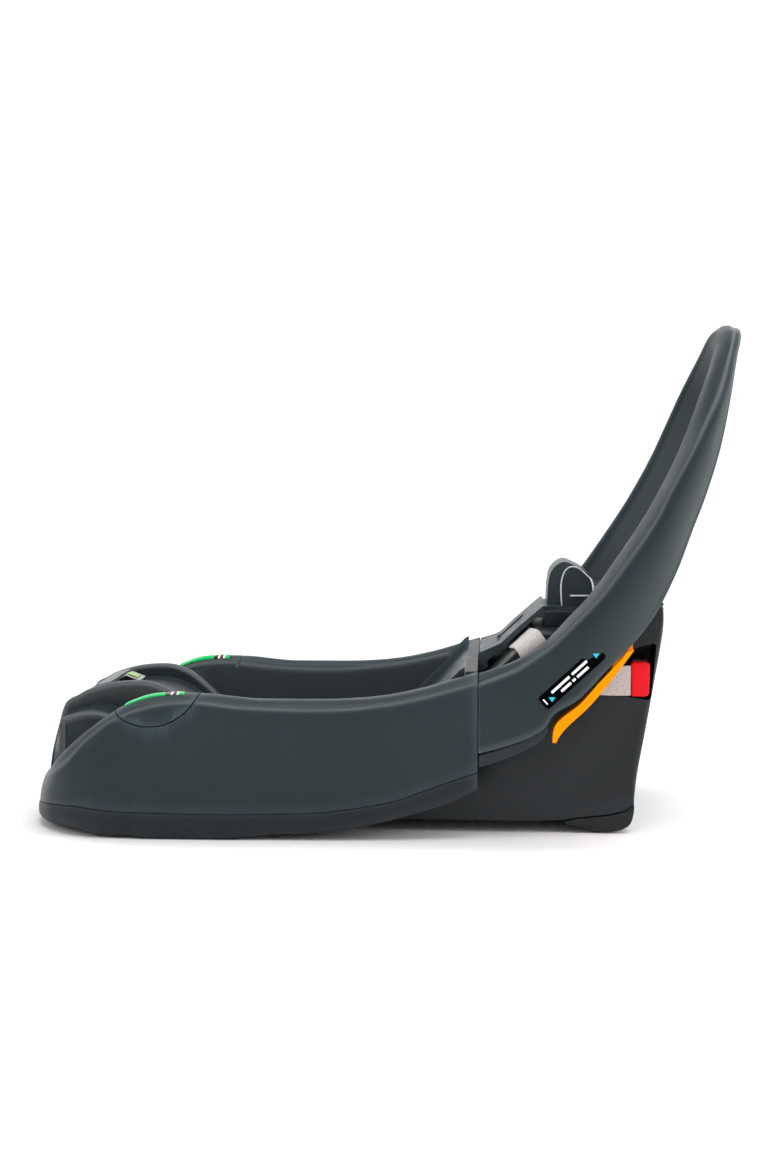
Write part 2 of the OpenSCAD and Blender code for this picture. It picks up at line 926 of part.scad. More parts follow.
module level_pawl() {
  color("#a7abad")
    difference() {
      union() {
        pin_y(pawl_pivot, 7, -5, 18.5);
        along_y(-5, 5)
          polygon([[199, 70], [198, 46], [191.9, 38], [198, 34], [206, 40], [211, 70]]);
        along_y(10.5, 18.5)
          polygon([[199, 70], [200.5, 31], [209.5, 31], [211, 70]]);
      }
      pin_y(pawl_pivot, 3 + run_gap, -50, 50);
      along_y(9, 20) polygon([[202.6, 32.5], [207.4, 32.5], [207.4, 40], [202.6, 40]]);
    }
}

// ---- the object ---------------------------------------------------------------------

front_shell();
base_pan();
grip_pads();
assembly_screws();
front_striker_bar();
nose_console();
level_indicator();
bubble_cap(-1);  // bubble_cap_right
bubble_cap(1);  // bubble_cap_left
level_strip(-1);  // level_strip_right
level_strip(1);  // level_strip_left
level_vial(-1);  // level_vial_right
level_vial(1);  // level_vial_left
crossbar();
rear_housing();
rear_deck();
belt_bridge();
latch_tower();
tower_fin(-1);  // tower_fin_right
tower_fin(1);  // tower_fin_left
rear_striker_bar();
hoop_shell();
hoop_back_cover();
hoop_tube();
hoop_bolts();
hoop_trim(-1);  // hoop_trim_right
hoop_trim(1);  // hoop_trim_left
belt_label(-1);  // belt_label_right
belt_label(1);  // belt_label_left
lever_pin(-1);  // lever_pin_right
lever_pin(1);  // lever_pin_left
lever_spring(-1);  // lever_spring_right
lever_spring(1);  // lever_spring_left
lock_off_lever(-1);  // lock_off_lever_right
lock_off_lever(1);  // lock_off_lever_left
anchor_webbing();
connector_body(-1);  // connector_body_right
connector_body(1);  // connector_body_left
connector_button(-1);  // connector_button_right
connector_button(1);  // connector_button_left
connector_jaw(-1);  // connector_jaw_right
connector_jaw(1);  // connector_jaw_left
foot_pivot_shaft();
foot_frame();
foot_shoe();
foot_pad();
release_button();
button_spring();
bellcrank_pin();
bellcrank();
release_rod();
pawl_pin();
pawl_bracket();
level_pawl();
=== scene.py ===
"""Looks of the infant car seat base: moulded shells, webbing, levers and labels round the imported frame."""

import json
import math

import bmesh
import bpy
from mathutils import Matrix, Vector


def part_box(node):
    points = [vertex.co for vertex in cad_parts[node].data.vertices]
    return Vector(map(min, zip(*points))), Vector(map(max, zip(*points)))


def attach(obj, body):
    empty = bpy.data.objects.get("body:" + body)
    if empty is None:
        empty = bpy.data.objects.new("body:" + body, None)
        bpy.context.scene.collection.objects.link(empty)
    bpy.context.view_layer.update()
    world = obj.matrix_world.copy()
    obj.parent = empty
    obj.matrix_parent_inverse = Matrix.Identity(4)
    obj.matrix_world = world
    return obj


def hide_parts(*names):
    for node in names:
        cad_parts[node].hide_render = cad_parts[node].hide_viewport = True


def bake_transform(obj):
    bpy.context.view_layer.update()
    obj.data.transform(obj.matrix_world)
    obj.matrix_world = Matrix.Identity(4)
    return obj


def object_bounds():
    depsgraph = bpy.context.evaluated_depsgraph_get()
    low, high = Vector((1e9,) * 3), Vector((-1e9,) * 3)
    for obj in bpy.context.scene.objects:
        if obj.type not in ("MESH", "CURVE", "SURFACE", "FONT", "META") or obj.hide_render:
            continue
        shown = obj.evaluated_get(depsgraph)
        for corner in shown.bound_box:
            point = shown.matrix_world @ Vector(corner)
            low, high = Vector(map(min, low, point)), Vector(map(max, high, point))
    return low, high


MM = 0.001
RIGHT, LEFT = -1, 1
SIDES = {"right": RIGHT, "left": LEFT}

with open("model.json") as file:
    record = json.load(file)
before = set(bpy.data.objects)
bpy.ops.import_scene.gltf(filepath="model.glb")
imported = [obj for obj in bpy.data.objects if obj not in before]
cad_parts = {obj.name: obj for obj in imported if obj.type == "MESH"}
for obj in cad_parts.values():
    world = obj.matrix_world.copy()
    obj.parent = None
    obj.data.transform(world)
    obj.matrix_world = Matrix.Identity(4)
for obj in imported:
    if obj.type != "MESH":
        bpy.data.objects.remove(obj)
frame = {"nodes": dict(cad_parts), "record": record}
cad_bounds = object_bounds()


# ---- curves ----------------------------------------------


def through(a, b, c, d, t):
    """A point of the smooth curve between b and c."""
    return 0.5 * (2 * b + (c - a) * t + (2 * a - 5 * b + 4 * c - d) * t * t + (3 * b - 3 * c + d - a) * t**3)


def spline(points, steps=8):
    """A smooth line through every point, as vectors."""
    p = [Vector(q) for q in points]
    line = []
    for i in range(len(p) - 1):
        a, d = p[max(i - 1, 0)], p[min(i + 2, len(p) - 1)]
        line += [through(a, p[i], p[i + 1], d, j / steps) for j in range(steps)]
    return line + [p[-1]]


def lookup(points, steps=8):
    """z as a function of x, along the smooth line through (x, z) points."""
    line = sorted(spline(points, steps), key=lambda q: q.x)

    def value(x):
        if x <= line[0].x:
            return line[0].y
        for a, b in zip(line, line[1:]):
            if x <= b.x:
                share = (x - a.x) / max(b.x - a.x, 1e-9)
                return a.y + (b.y - a.y) * share
        return line[-1].y

    return value


def bend(a, corner, b, steps=4):
    """Points of a round corner from a to b, pulled towards corner."""
    points = []
    for i in range(steps + 1):
        t = i / steps
        points.append(a * (1 - t) ** 2 + corner * (2 * t * (1 - t)) + b * t * t)
    return points


def between(a, b, count, crown=None):
    """count points strictly between a and b, pushed out by crown at the middle."""
    points = []
    for i in range(1, count + 1):
        t = i / (count + 1)
        p = a.lerp(b, t)
        points.append(p + crown * (4 * t * (1 - t)) if crown else p)
    return points


def clamp(value, low, high):
    return max(low, min(high, value))


# ---- meshes ----------------------------------------------


def shade(bm, smooth_angle):
    """Smooth faces, with edges above smooth_angle kept sharp."""
    limit = math.radians(smooth_angle)
    for face in bm.faces:
        face.smooth = True
    for edge in bm.edges:
        edge.smooth = len(edge.link_faces) == 2 and edge.calc_face_angle(0) < limit


def new_piece(name, bm, material, smooth_angle=35, to_mm=True):
    """An object from a bmesh in millimetres, with sharp edges kept above smooth_angle."""
    if to_mm:
        bmesh.ops.scale(bm, vec=(MM, MM, MM), verts=bm.verts)
    bmesh.ops.recalc_face_normals(bm, faces=bm.faces)
    shade(bm, smooth_angle)
    mesh = bpy.data.meshes.new(name)
    bm.to_mesh(mesh)
    bm.free()
    piece = bpy.data.objects.new(name, mesh)
    bpy.context.scene.collection.objects.link(piece)
    mesh.materials.append(material)
    return piece


def place(piece, body, slot, *nodes):
    """piece rides on a body and stands for CAD nodes, which are hidden; slot is not used."""
    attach(piece, body)
    if nodes:
        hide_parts(*nodes)
    return piece


def add_piece(name, bm, body, slot, *nodes):
    """A placed object from a bmesh, in its slot's own material."""
    return place(new_piece(name, bm, MATERIALS[slot]), body, slot, *nodes)


def at_y(outline, y):
    """An [x, z] outline as points at a distance y from the middle."""
    return [Vector((p.x, y, p.y)) for p in outline]


def tangent(line, i):
    """Unit direction of a line at its point i."""
    return (line[min(i + 1, len(line) - 1)] - line[max(i - 1, 0)]).normalized()


def add_loft(bm, rows, ring=True, capped=True, painted_light=None):
    """Skins rows of points into bm. ring closes each row, capped closes the two ends.

    The last argument says, for a row and a place, how much painted light a point gets: painted highlights on
    edges and painted lightening of walls in shade.
    """
    # Painted light per point, kept in a mesh attribute that the moulded materials read.
    layer = bm.verts.layers.float.new("painted_light") if painted_light else None
    made = [[bm.verts.new(p) for p in row] for row in rows]
    count = len(made[0])
    for i, row in enumerate(made if painted_light else []):
        for k, vert in enumerate(row):
            vert[layer] = painted_light(i, k)
    for low, high in zip(made, made[1:]):
        for k in range(count if ring else count - 1):
            m = (k + 1) % count
            bm.faces.new((low[k], low[m], high[m], high[k]))
    if ring and capped:
        bm.faces.new(list(reversed(made[0])))
        bm.faces.new(made[-1])
    return made


def add_prism(bm, outline, y0, y1, edge=0.0):
    """An [x, z] outline extruded along y, its two end edges rounded by insets of edge."""
    angles = [math.pi / 2 * i / 3 for i in range(4)]
    rows = [(y0 + edge * (1 - math.cos(a)), edge * (1 - math.sin(a))) for a in angles]
    rows += [(y1 - (y - y0), inset) for y, inset in reversed(rows)]
    add_loft(bm, [at_y(inset_outline(outline, inset), y) for y, inset in rows])


def inset_outline(outline, depth, weight=None):
    """A closed outline moved inwards by depth, times weight(point)."""
    count = len(outline)
    area = sum(outline[i].cross(outline[(i + 1) % count]) for i in range(count))
    turn = 1 if area > 0 else -1
    moved = []
    for i, p in enumerate(outline):
        before, after = (p - outline[i - 1]), (outline[(i + 1) % count] - p)
        before, after = before.normalized(), after.normalized()
        normal = Vector((-(before.y + after.y), before.x + after.x)) * turn
        size = normal.length
        if size < 1e-6:
            moved.append(p.copy())
            continue
        normal /= size
        stretch = min(1 / max((1 + before.dot(after)) / 2, 0.25) ** 0.5, 1.6)
        share = weight(p) if weight else 1
        moved.append(p + normal * depth * stretch * share)
    return moved


def round_outline(points, radii, steps=4):
    """Straight-sided outline with each corner rounded by its own radius."""
    p = [Vector(q) for q in points]
    outline = []
    for i, q in enumerate(p):
        r = radii[i] if isinstance(radii, (list, tuple)) else radii
        back, on = (p[i - 1] - q), (p[(i + 1) % len(p)] - q)
        reach = min(r, back.length * 0.45, on.length * 0.45)
        outline += bend(q + back.normalized() * reach, q, q + on.normalized() * reach, steps)
    return outline


def applied(piece):
    """A mesh with the piece's modifiers applied, which are then dropped."""
    bpy.context.view_layer.update()
    mesh = bpy.data.meshes.new_from_object(piece.evaluated_get(bpy.context.evaluated_depsgraph_get()))
    piece.modifiers.clear()
    return mesh


def rounded_copy(node, width, material, name=None, segments=2, angle=28):
    """A piece with the shape of a CAD node and its sharp edges rounded."""
    bm = bmesh.new()
    bm.from_mesh(frame["nodes"][node].data)
    bmesh.ops.remove_doubles(bm, verts=bm.verts, dist=2e-6)
    bmesh.ops.dissolve_limit(bm, angle_limit=math.radians(1.0), verts=bm.verts, edges=bm.edges)
    limit = math.radians(angle)
    sharp = [e for e in bm.edges if len(e.link_faces) == 2 and e.calc_face_angle(0) > limit]
    settings = {"segments": segments, "profile": 0.5, "affect": "EDGES", "clamp_overlap": True}
    bmesh.ops.bevel(bm, geom=sharp, offset=width * MM, **settings)
    piece = new_piece(name or node + "_skin", bm, material, to_mm=False)
    modifier = piece.modifiers.new("flatter", "WEIGHTED_NORMAL")
    modifier.keep_sharp = True
    piece.data = applied(piece)
    return piece


def cut(piece, tool, operation="DIFFERENCE"):
    """Applies a boolean with tool to piece and removes tool."""
    modifier = piece.modifiers.new("cut", "BOOLEAN")
    modifier.operation = operation
    modifier.solver = "EXACT"
    modifier.object = tool
    result = applied(piece)
    bm = bmesh.new()
    bm.from_mesh(result)
    bmesh.ops.dissolve_degenerate(bm, edges=bm.edges, dist=1e-6)
    shade(bm, 35)
    bm.to_mesh(result)
    bm.free()
    piece.data = result
    bpy.data.objects.remove(tool)
    return piece


def copy_of(piece, name):
    twin = piece.copy()
    twin.data = piece.data.copy()
    twin.name = name
    bpy.context.scene.collection.objects.link(twin)
    return twin


# ---- materials -------------------------------------------


class Paint:
    """A node material, built from a Principled shader outwards."""

    def __init__(self, name, roughness=0.5, metallic=0.0):
        self.material = bpy.data.materials.new(name)
        self.material.use_nodes = True
        self.tree = self.material.node_tree
        self.shader = self.tree.nodes["Principled BSDF"]
        self.shader.inputs["Roughness"].default_value = roughness
        self.shader.inputs["Metallic"].default_value = metallic
        self.coords = self.tree.nodes.new("ShaderNodeTexCoord")

    def node(self, kind, **inputs):
        node = self.tree.nodes.new(kind)
        for key, value in inputs.items():
            target = node.inputs[key.replace("_", " ")]
            if isinstance(value, bpy.types.NodeSocket):
                self.tree.links.new(value, target)
            else:
                target.default_value = value
        return node

    def link(self, output, name):
        self.tree.links.new(output, self.shader.inputs[name])

    def noise(self, scale, detail=3.0, source=None):
        vector = source or self.coords.outputs["Object"]
        return self.node("ShaderNodeTexNoise", Vector=vector, Scale=scale, Detail=detail).outputs["Fac"]

    def ramp(self, factor, stops):
        node = self.node("ShaderNodeValToRGB", Fac=factor)
        elements = node.color_ramp.elements
        for i, (at, colour) in enumerate(stops):
            element = elements[i] if i < 2 else elements.new(at)
            element.position = at
            element.color = (*colour, 1)
        return node.outputs["Color"]

    def range(self, value, low, high, to_low, to_high):
        node = self.node("ShaderNodeMapRange", Value=value)
        for key, number in zip(("From Min", "From Max", "To Min", "To Max"), (low, high, to_low, to_high)):
            node.inputs[key].default_value = number
        return node.outputs["Result"]

    def mix(self, factor, a, b, blend="MIX"):
        node = self.tree.nodes.new("ShaderNodeMix")
        node.data_type = "RGBA"
        node.blend_type = blend
        for socket, value in ((node.inputs[0], factor), (node.inputs[6], a), (node.inputs[7], b)):
            if isinstance(value, bpy.types.NodeSocket):
                self.tree.links.new(value, socket)
            else:
                socket.default_value = value if isinstance(value, float) else (*value, 1)
        return node.outputs[2]

    def bump(self, height, strength, distance, normal=None):
        node = self.node("ShaderNodeBump", Strength=strength, Distance=distance, Height=height)
        if normal:
            self.tree.links.new(normal, node.inputs["Normal"])
        return node.outputs["Normal"]


def scaled(colour, k):
    return tuple(min(c * k, 1) for c in colour)


# Pale tint laid on as painted highlights and painted light.
PAINTED_LIGHT_TINT = (0.105, 0.116, 0.118)


def moulded(name, colour, roughness=0.42, grain=1500, depth=0.00006, edge_highlight_gain=2.6, shine=0.13):
    """Moulded plastic: fine spark-eroded grain, faint flow marks, painted highlights on sharp edges and
    painted light where the mesh asks for it.
    """
    p = Paint(name, roughness)
    flow = p.noise(7, 4)
    base = p.ramp(flow, [(0.3, scaled(colour, 0.9)), (0.7, scaled(colour, 1.1))])
    # Sharp convex edges get a painted highlight; the mesh attribute lays on more painted light.
    edge = p.node("ShaderNodeNewGeometry").outputs["Pointiness"]
    edge_highlight = p.range(edge, 0.505, 0.55, 0.0, 0.7)
    painted_light = p.node("ShaderNodeAttribute")
    painted_light.attribute_name = "painted_light"
    base_with_painted_light = p.mix(painted_light.outputs["Fac"], p.mix(edge_highlight, base, scaled(colour, edge_highlight_gain)), PAINTED_LIGHT_TINT)
    p.link(base_with_painted_light, "Base Color")
    p.link(p.range(p.noise(60, 5), 0.3, 0.7, roughness - 0.05, roughness + 0.06), "Roughness")
    pits = p.node("ShaderNodeTexVoronoi", Vector=p.coords.outputs["Object"], Scale=grain).outputs["Distance"]
    p.link(p.bump(p.noise(grain * 0.7, 2), 0.25, depth, p.bump(pits, 0.3, depth)), "Normal")
    p.shader.inputs["Specular IOR Level"].default_value = shine
    return p.material


def gloss(name, colour, roughness=0.18, coat=0.6, shine=0.15):
    p = Paint(name, roughness)
    p.link(p.ramp(p.noise(40, 3), [(0.35, scaled(colour, 0.93)), (0.65, scaled(colour, 1.06))]), "Base Color")
    p.link(p.range(p.noise(160, 4), 0.3, 0.7, roughness - 0.04, roughness + 0.06), "Roughness")
    p.link(p.bump(p.noise(700, 2), 0.08, 0.00004), "Normal")
    p.shader.inputs["Specular IOR Level"].default_value = shine
    p.shader.inputs["Coat Weight"].default_value = coat
    p.shader.inputs["Coat Roughness"].default_value = 0.08
    return p.material


def steel(name, colour, roughness):
    """Drawn or plated steel with fine lengthwise marks."""
    p = Paint(name, roughness, 1.0)
    stretch = p.node("ShaderNodeMapping", Vector=p.coords.outputs["Object"], Scale=(900, 60, 900))
    marks = p.noise(1.0, 4, stretch.outputs["Vector"])
    p.link(p.ramp(marks, [(0.3, scaled(colour, 0.82)), (0.7, colour)]), "Base Color")
    p.link(p.range(marks, 0.3, 0.7, roughness - 0.08, roughness + 0.1), "Roughness")
    p.link(p.bump(marks, 0.12, 0.00005), "Normal")
    return p.material


def rubber(name, colour):
    p = Paint(name, 0.8)
    p.link(p.ramp(p.noise(30, 5), [(0.3, scaled(colour, 0.8)), (0.7, scaled(colour, 1.3))]), "Base Color")
    p.link(p.bump(p.noise(900, 3), 0.4, 0.00012), "Normal")
    return p.material


def woven(name, pale, dark):
    """Heather webbing: a twill of fat yarns across the band, with speckled dyed yarn."""
    p = Paint(name, 0.9)
    uv = p.coords.outputs["UV"]
    twill = p.node("ShaderNodeMapping", Vector=uv, Rotation=(0, 0, math.radians(27)))
    waves = []
    for vector, scale in ((twill.outputs["Vector"], 300.0), (uv, 420.0)):
        wave = p.node("ShaderNodeTexWave", Vector=vector, Scale=scale, Distortion=1.2, Detail=1.0)
        waves.append(wave.outputs["Fac"])
    yarn = p.mix(0.5, waves[0], waves[1], "MULTIPLY")
    flecks = p.node("ShaderNodeMapping", Vector=uv, Scale=(1400, 260, 1))
    speckle = p.ramp(p.noise(1.0, 3, flecks.outputs["Vector"]), [(0.38, dark), (0.56, pale)])
    p.link(p.mix(0.35, speckle, yarn, "MULTIPLY"), "Base Color")
    p.shader.inputs["Sheen Weight"].default_value = 0.3
    p.link(p.bump(yarn, 0.8, 0.0004), "Normal")
    return p.material


MATERIALS = {
    "shell_plastic": moulded("shell_plastic", (0.0225, 0.0325, 0.0370), 0.36),
    "pan_plastic": moulded("pan_plastic", (0.018, 0.022, 0.025), 0.42),
    "console_plastic": moulded("console_plastic", (0.021, 0.028, 0.031), 0.36),
    "crossbar_plastic": moulded("crossbar_plastic", (0.022, 0.0235, 0.0243), 0.4, edge_highlight_gain=1.8),
    "housing_plastic": moulded("housing_plastic", (0.0075, 0.0095, 0.011), 0.38, shine=0.25),
    "button_plastic": moulded("button_plastic", (0.06, 0.07, 0.074), 0.36),
    "lever_orange": moulded("lever_orange", (0.98, 0.30, 0.001), 0.5, depth=0.00003, edge_highlight_gain=1.05, shine=0.05),
    "level_green": gloss("level_green", (0.008, 0.50, 0.12), 0.2, 0.1),
    "indicator_green": gloss("indicator_green", (0.22, 0.42, 0.04), 0.25, 0.1),
    "vial_black": gloss("vial_black", (0.008, 0.008, 0.008)),
    "label_film": gloss("label_film", (0.0015, 0.0018, 0.002), 0.6, 0.0, 0.01),
    "connector_red": gloss("connector_red", (0.80, 0.006, 0.016), 0.4, 0.0),
    "connector_grey": moulded("connector_grey", (0.1, 0.1, 0.1), 0.4),
    "grip_rubber": rubber("grip_rubber", (0.010, 0.010, 0.011)),
    "steel": steel("steel", (0.60, 0.61, 0.62), 0.28),
    "zinc_steel": steel("zinc_steel", (0.48, 0.49, 0.51), 0.4),
    "bright_trim": steel("bright_trim", (0.95, 0.955, 0.96), 0.34),
    "webbing": woven("webbing", (0.86, 0.80, 0.775), (0.60, 0.545, 0.52)),
}
PRINT = {
    "cyan": gloss("print_cyan", (0.02, 0.62, 0.86), 0.35, 0.1),
    "white": gloss("print_white", (0.93, 0.94, 0.95), 0.4, 0.1),
    "brown": gloss("print_brown", (0.10, 0.045, 0.03), 0.3, 0.2),
}

for part in frame["record"]["subparts"]:
    cad = frame["nodes"][part["node"]]
    cad.data.materials.clear()
    cad.data.materials.append(MATERIALS[part["material_slot"]])


# ---- outlines of the base, in millimetres ----------------

low_corner, high_corner = cad_bounds
HALF_WIDTH = high_corner[1] / MM
NOSE_X = low_corner[0] / MM
SEAM_X = 91.5
TUB_HALF = 150
TUB_FRONT, TUB_BACK = -348, SEAM_X - 13.5
HOUSING_HALF = 130
LENS = Vector((-237, 168.5))
LENS_R = 54
LENS_GAP = 0.6
WEB_WIDTH, WEB_THICKNESS = 30.5, 1.5

PLAN = [(-250, 186), (-304, 179), (-341, 153), (-361.5, 112), (-370, 60), (NOSE_X, 0)]
# Heights along the rails: the crown of the top, its outer crease and its inner edge.
crown_z = lookup([
    (-372, 48), (-364, 51), (-351.5, 59.6), (-335, 76.8), (-322, 89.7), (-309, 101.9), (-298, 110.8),
    (-287.5, 118.7), (-277, 126), (-268, 131.6), (-253, 138), (-239, 142.5), (-224, 144.6), (-209.5, 145.9),
    (-192, 146), (-173, 145), (-152, 142.7), (-132.6, 140.9), (-107, 140.7), (-57, 140.9), (-32, 142),
    (-15, 143.4), (10, 147), (43.5, 154.8), (77, 165.1), (92, 169.6)])
crease_z = lookup([
    (-376, 46), (-366, 49), (-352, 55), (-340, 62.5), (-327.5, 71.7), (-316.5, 82.8), (-305, 95.5),
    (-294, 105.4), (-282, 115.3), (-270, 122.1), (-249.5, 130.4), (-235, 134.4), (-213.5, 137.9),
    (-192, 138.8), (-170.5, 136.8), (-149, 134.1), (-130, 133.3), (-105, 132.3), (-80, 131.8),
    (-55, 132.2), (-30, 133.7), (-13.6, 135.9), (11, 139.4), (44, 146.8), (77, 156.2), (92, 161.0)])
inner_z = lookup([
    (-366, 49), (-345, 62), (-330, 76), (-310, 96), (-290, 112), (-270, 126), (-250, 134), (-230, 137.5),
    (-201, 138.7), (-172, 135.3), (-143, 132.6), (-113, 131.2), (-84, 131), (-55, 132.4), (-25, 135.9),
    (4, 140), (33, 146.1), (72, 155.5), (92, 161.5)])
# The seam between shell and pan, the pan's underside and the cradle floor.
parting_z = lookup([
    (-380, 20), (-360, 24.3), (-349, 27.6), (-327.5, 30.2), (-310, 30.7), (-295, 29.6), (-279.5, 28.1),
    (-265, 27.7), (-236, 27), (-207, 26.6), (-178, 26.2), (-149, 26.5), (-105, 27.6), (-59, 30), (2, 40),
    (32, 50), (62, 61), (93, 72)])
pan_z = lookup([
    (-380, 6), (-360, 3.8), (-342, 5.4), (-313, 4.8), (-296, 1.4), (-279, 0.9), (-262, 0.8), (-246, 0.7),
    (-150, 0.8), (-132, 1.7), (-116, 3.9), (-84, 5.3), (-68, 6.5), (-52, 8.7), (-36, 10.9), (-20, 14.2),
    (-4, 18.4), (12, 22.4), (55, 35.5), (80, 46.5), (88, 52)])
tub_z = lookup([
    (-372, 46), (-330, 46), (-250, 58), (-180, 60), (-110, 46), (-50, 52), (0, 85), (44, 127), (76, 159.3)])
band_width = lookup([(-372, 6), (-369, 8), (-361, 14), (-341, 25), (-304, 34), (-250, 38), (95, 38)])
PEAK = 0.6


def rail_top(offset, width, crease, crown, inner):
    """Height of a rail's top at an offset from its outer wall."""
    peak = width * PEAK
    if offset < peak:
        return crown - (crown - crease) * (1 - offset / peak) ** 2.2
    return crown - (crown - inner) * ((offset - peak) / (width - peak)) ** 2.2


def nose_lean(x, z):
    """How far the draft of the nose wall carries a point outwards."""
    return 0.22 * clamp(41 - z, -9, 30) * clamp((-338 - x) / 28, 0, 1)


def plan_outline(step=7.0):
    """The base's outline from the right seam, round the nose, to the left seam."""
    back, wall = SEAM_X - 0.3, PLAN[0][1]
    count = int((back - PLAN[0][0]) / step)
    straight = [Vector((back - i * step, wall)) for i in range(count)]
    half = straight + spline(PLAN, 9)
    right = [Vector((p.x, -p.y)) for p in half]
    left = [Vector((p.x, p.y)) for p in reversed(half[:-1])]
    return right + left


def inward(line, i):
    """Unit normal towards the inside of the plan outline at point i."""
    t = tangent(line, i)
    return Vector((t.y, -t.x))


def shell_section(p, n, width):
    """The rail's section as (offset from the outline, z): outer wall, arched top, inner wall."""
    foot, crease, floor = parting_z(p.x) + 0.35, crease_z(p.x), tub_z(p.x + n.x * width) - 2
    crown, inner = crown_z(p.x + n.x * width * PEAK), inner_z(p.x + n.x * width)
    crease, inner = min(crease, crown), min(inner, crown - 0.5)

    def top(offset):
        return Vector((offset, rail_top(offset, width, crease, crown, inner)))

    reach, drop = min(5.5, width * 0.25), min(6.0, width * 0.3)
    section = bend(Vector((1.3, foot)), Vector((0.1, foot)), Vector((0.0, foot + 1.3)), 3)
    wall_top = Vector((0, crease - min(5.0, reach)))
    section += between(section[-1], wall_top, 7, Vector((-0.9, 0)))
    section += bend(wall_top, Vector((0.3, crease + 1.0)), top(reach), 6)
    section += [top(reach + (width - drop * 0.8 - reach) * k / 8) for k in range(1, 8)]
    section += bend(top(width - drop * 0.8), Vector((width, inner + 1.2)), Vector((width, inner - drop)), 6)
    section += between(Vector((width, inner - drop)), Vector((width, floor)), 3)
    return section + [Vector((width, floor)), Vector((max(width - 4, 3), floor - 2)), Vector((3.5, foot + 1))]


def around(section_at, outline):
    rows = []
    for i, p in enumerate(outline):
        n = inward(outline, i)
        moved = [(o - nose_lean(p.x, z), z) for o, z in section_at(p, n)]
        rows.append([Vector((p.x + n.x * o, p.y + n.y * o, z)) for o, z in moved])
    return rows


def squeezed_ends(rows, depth=0.8):
    """Rounds the two ends of a loft by drawing its end rows in."""
    for end, step in ((0, 1), (-1, -1)):
        row = rows[end]
        centre = sum(row, Vector()) / len(row)
        along = (rows[end][0] - rows[end + step][0]).normalized()
        shrunk = [p + (centre - p).normalized() * depth for p in row]
        moved = [p - along * depth for p in row]
        if end == 0:
            rows[0:1] = [shrunk, moved]
        else:
            rows[-1:] = [moved, shrunk]
    return rows


# ---- front half ------------------------------------------


# Painted light on the points of a rail section, in the order of shell_section: painted highlights on the
# crease and inner edge, painted lightening of the inner wall.
CREASE_HIGHLIGHT = [0, 0, 0.3, 0.9, 0.4, 0, 0]
INNER_EDGE_HIGHLIGHT = [0, 0.1, 0.6, 0.8, 0.4, 0.3, 0.3]
RAIL_PAINTED_LIGHT = [0] * 11 + CREASE_HIGHLIGHT + [0] * 7 + INNER_EDGE_HIGHLIGHT + [0.3] * 6


def rail_rows():
    def section(p, n):
        return [(q.x, q.y) for q in shell_section(p, n, band_width(p.x))]

    return squeezed_ends(around(section, plan_outline()))


def tub_rows():
    """The cradle floor, with coved edges and two long stiffening ribs."""
    rows = []
    half_shares = [-1.0, -0.985, -0.965, -0.94, -0.92, -0.9, -0.8, -0.62]
    half_shares += [-0.40, -0.375, -0.36, -0.30, -0.285, -0.26, -0.1]
    shares = half_shares + [0.0] + [-s for s in reversed(half_shares)]
    cove, steps = 13.0, 94
    for i in range(steps + 1):
        x = TUB_FRONT + i * (TUB_BACK - TUB_FRONT) / steps
        half = min(TUB_HALF + 1, plan_half_width(x) - band_width(x) + 1)
        row = []
        for share in shares:
            y = share * half
            rise = clamp(abs(y) - (half - cove), 0, cove)
            z = tub_z(x) + cove - math.sqrt(max(cove * cove - rise * rise, 0))
            z += 2.6 * rib_height(share) * clamp((x + 165) / 12, 0, 1) * clamp((52 - x) / 12, 0, 1)
            row.append(Vector((x, y, z)))
        rows.append(row)
    return rows


def rib_height(share):
    """1 on a stiffening rib of the floor, 0 beside it."""
    return clamp((0.06 - abs(abs(share) - 0.33)) / 0.02, 0, 1)


def plan_half_width(x):
    """Half of the base's width at x."""
    line = [(p.x, -p.y) for p in plan_outline() if p.y <= 0]
    for (xa, ya), (xb, yb) in zip(line, line[1:]):
        if xb <= x <= xa:
            return yb + (ya - yb) * (x - xb) / max(xa - xb, 1e-9)
    return 0.0


def thick_sheet(bm, rows, thickness):
    """A sheet with its underside below it, closed all round."""
    under = [[p - Vector((0, 0, thickness)) for p in row] for row in rows]
    add_loft(bm, [top + list(reversed(low)) for top, low in zip(rows, under)])


def disc_tool(r, y0, y1):
    """A round cutter through the rails, with its axis along y."""
    bm = bmesh.new()
    rows = []
    angles = [math.tau * i / 96 for i in range(96)]
    for y in (y0, y1):
        rows.append([Vector((LENS.x + r * math.cos(a), y, LENS.y + r * math.sin(a))) for a in angles])
    add_loft(bm, rows)
    return new_piece("disc", bm, MATERIALS["shell_plastic"])


def make_front_shell():
    bm = bmesh.new()
    # The rails carry painted highlights on their edges and painted light on their inner walls.
    add_loft(bm, rail_rows(), painted_light=lambda i, k: RAIL_PAINTED_LIGHT[k])
    rails = new_piece("front_shell_rails", bm, MATERIALS["shell_plastic"])
    reach = {side: sorted((sign * (TUB_HALF - 2), sign * (HALF_WIDTH + 4))) for side, sign in SIDES.items()}
    for side, ends in reach.items():
        cap = copy_of(rails, f"bubble_cap_{side}_lens")
        cut(cap, disc_tool(LENS_R - LENS_GAP, *ends), "INTERSECT")
        place(cap, "base", "shell_plastic", f"bubble_cap_{side}")
    for ends in reach.values():
        cut(rails, disc_tool(LENS_R + LENS_GAP, *ends))
    place(rails, "base", "shell_plastic", "front_shell")
    bm = bmesh.new()
    thick_sheet(bm, tub_rows(), 2.5)
    add_piece("cradle_floor", bm, "base", "shell_plastic", "front_shell")


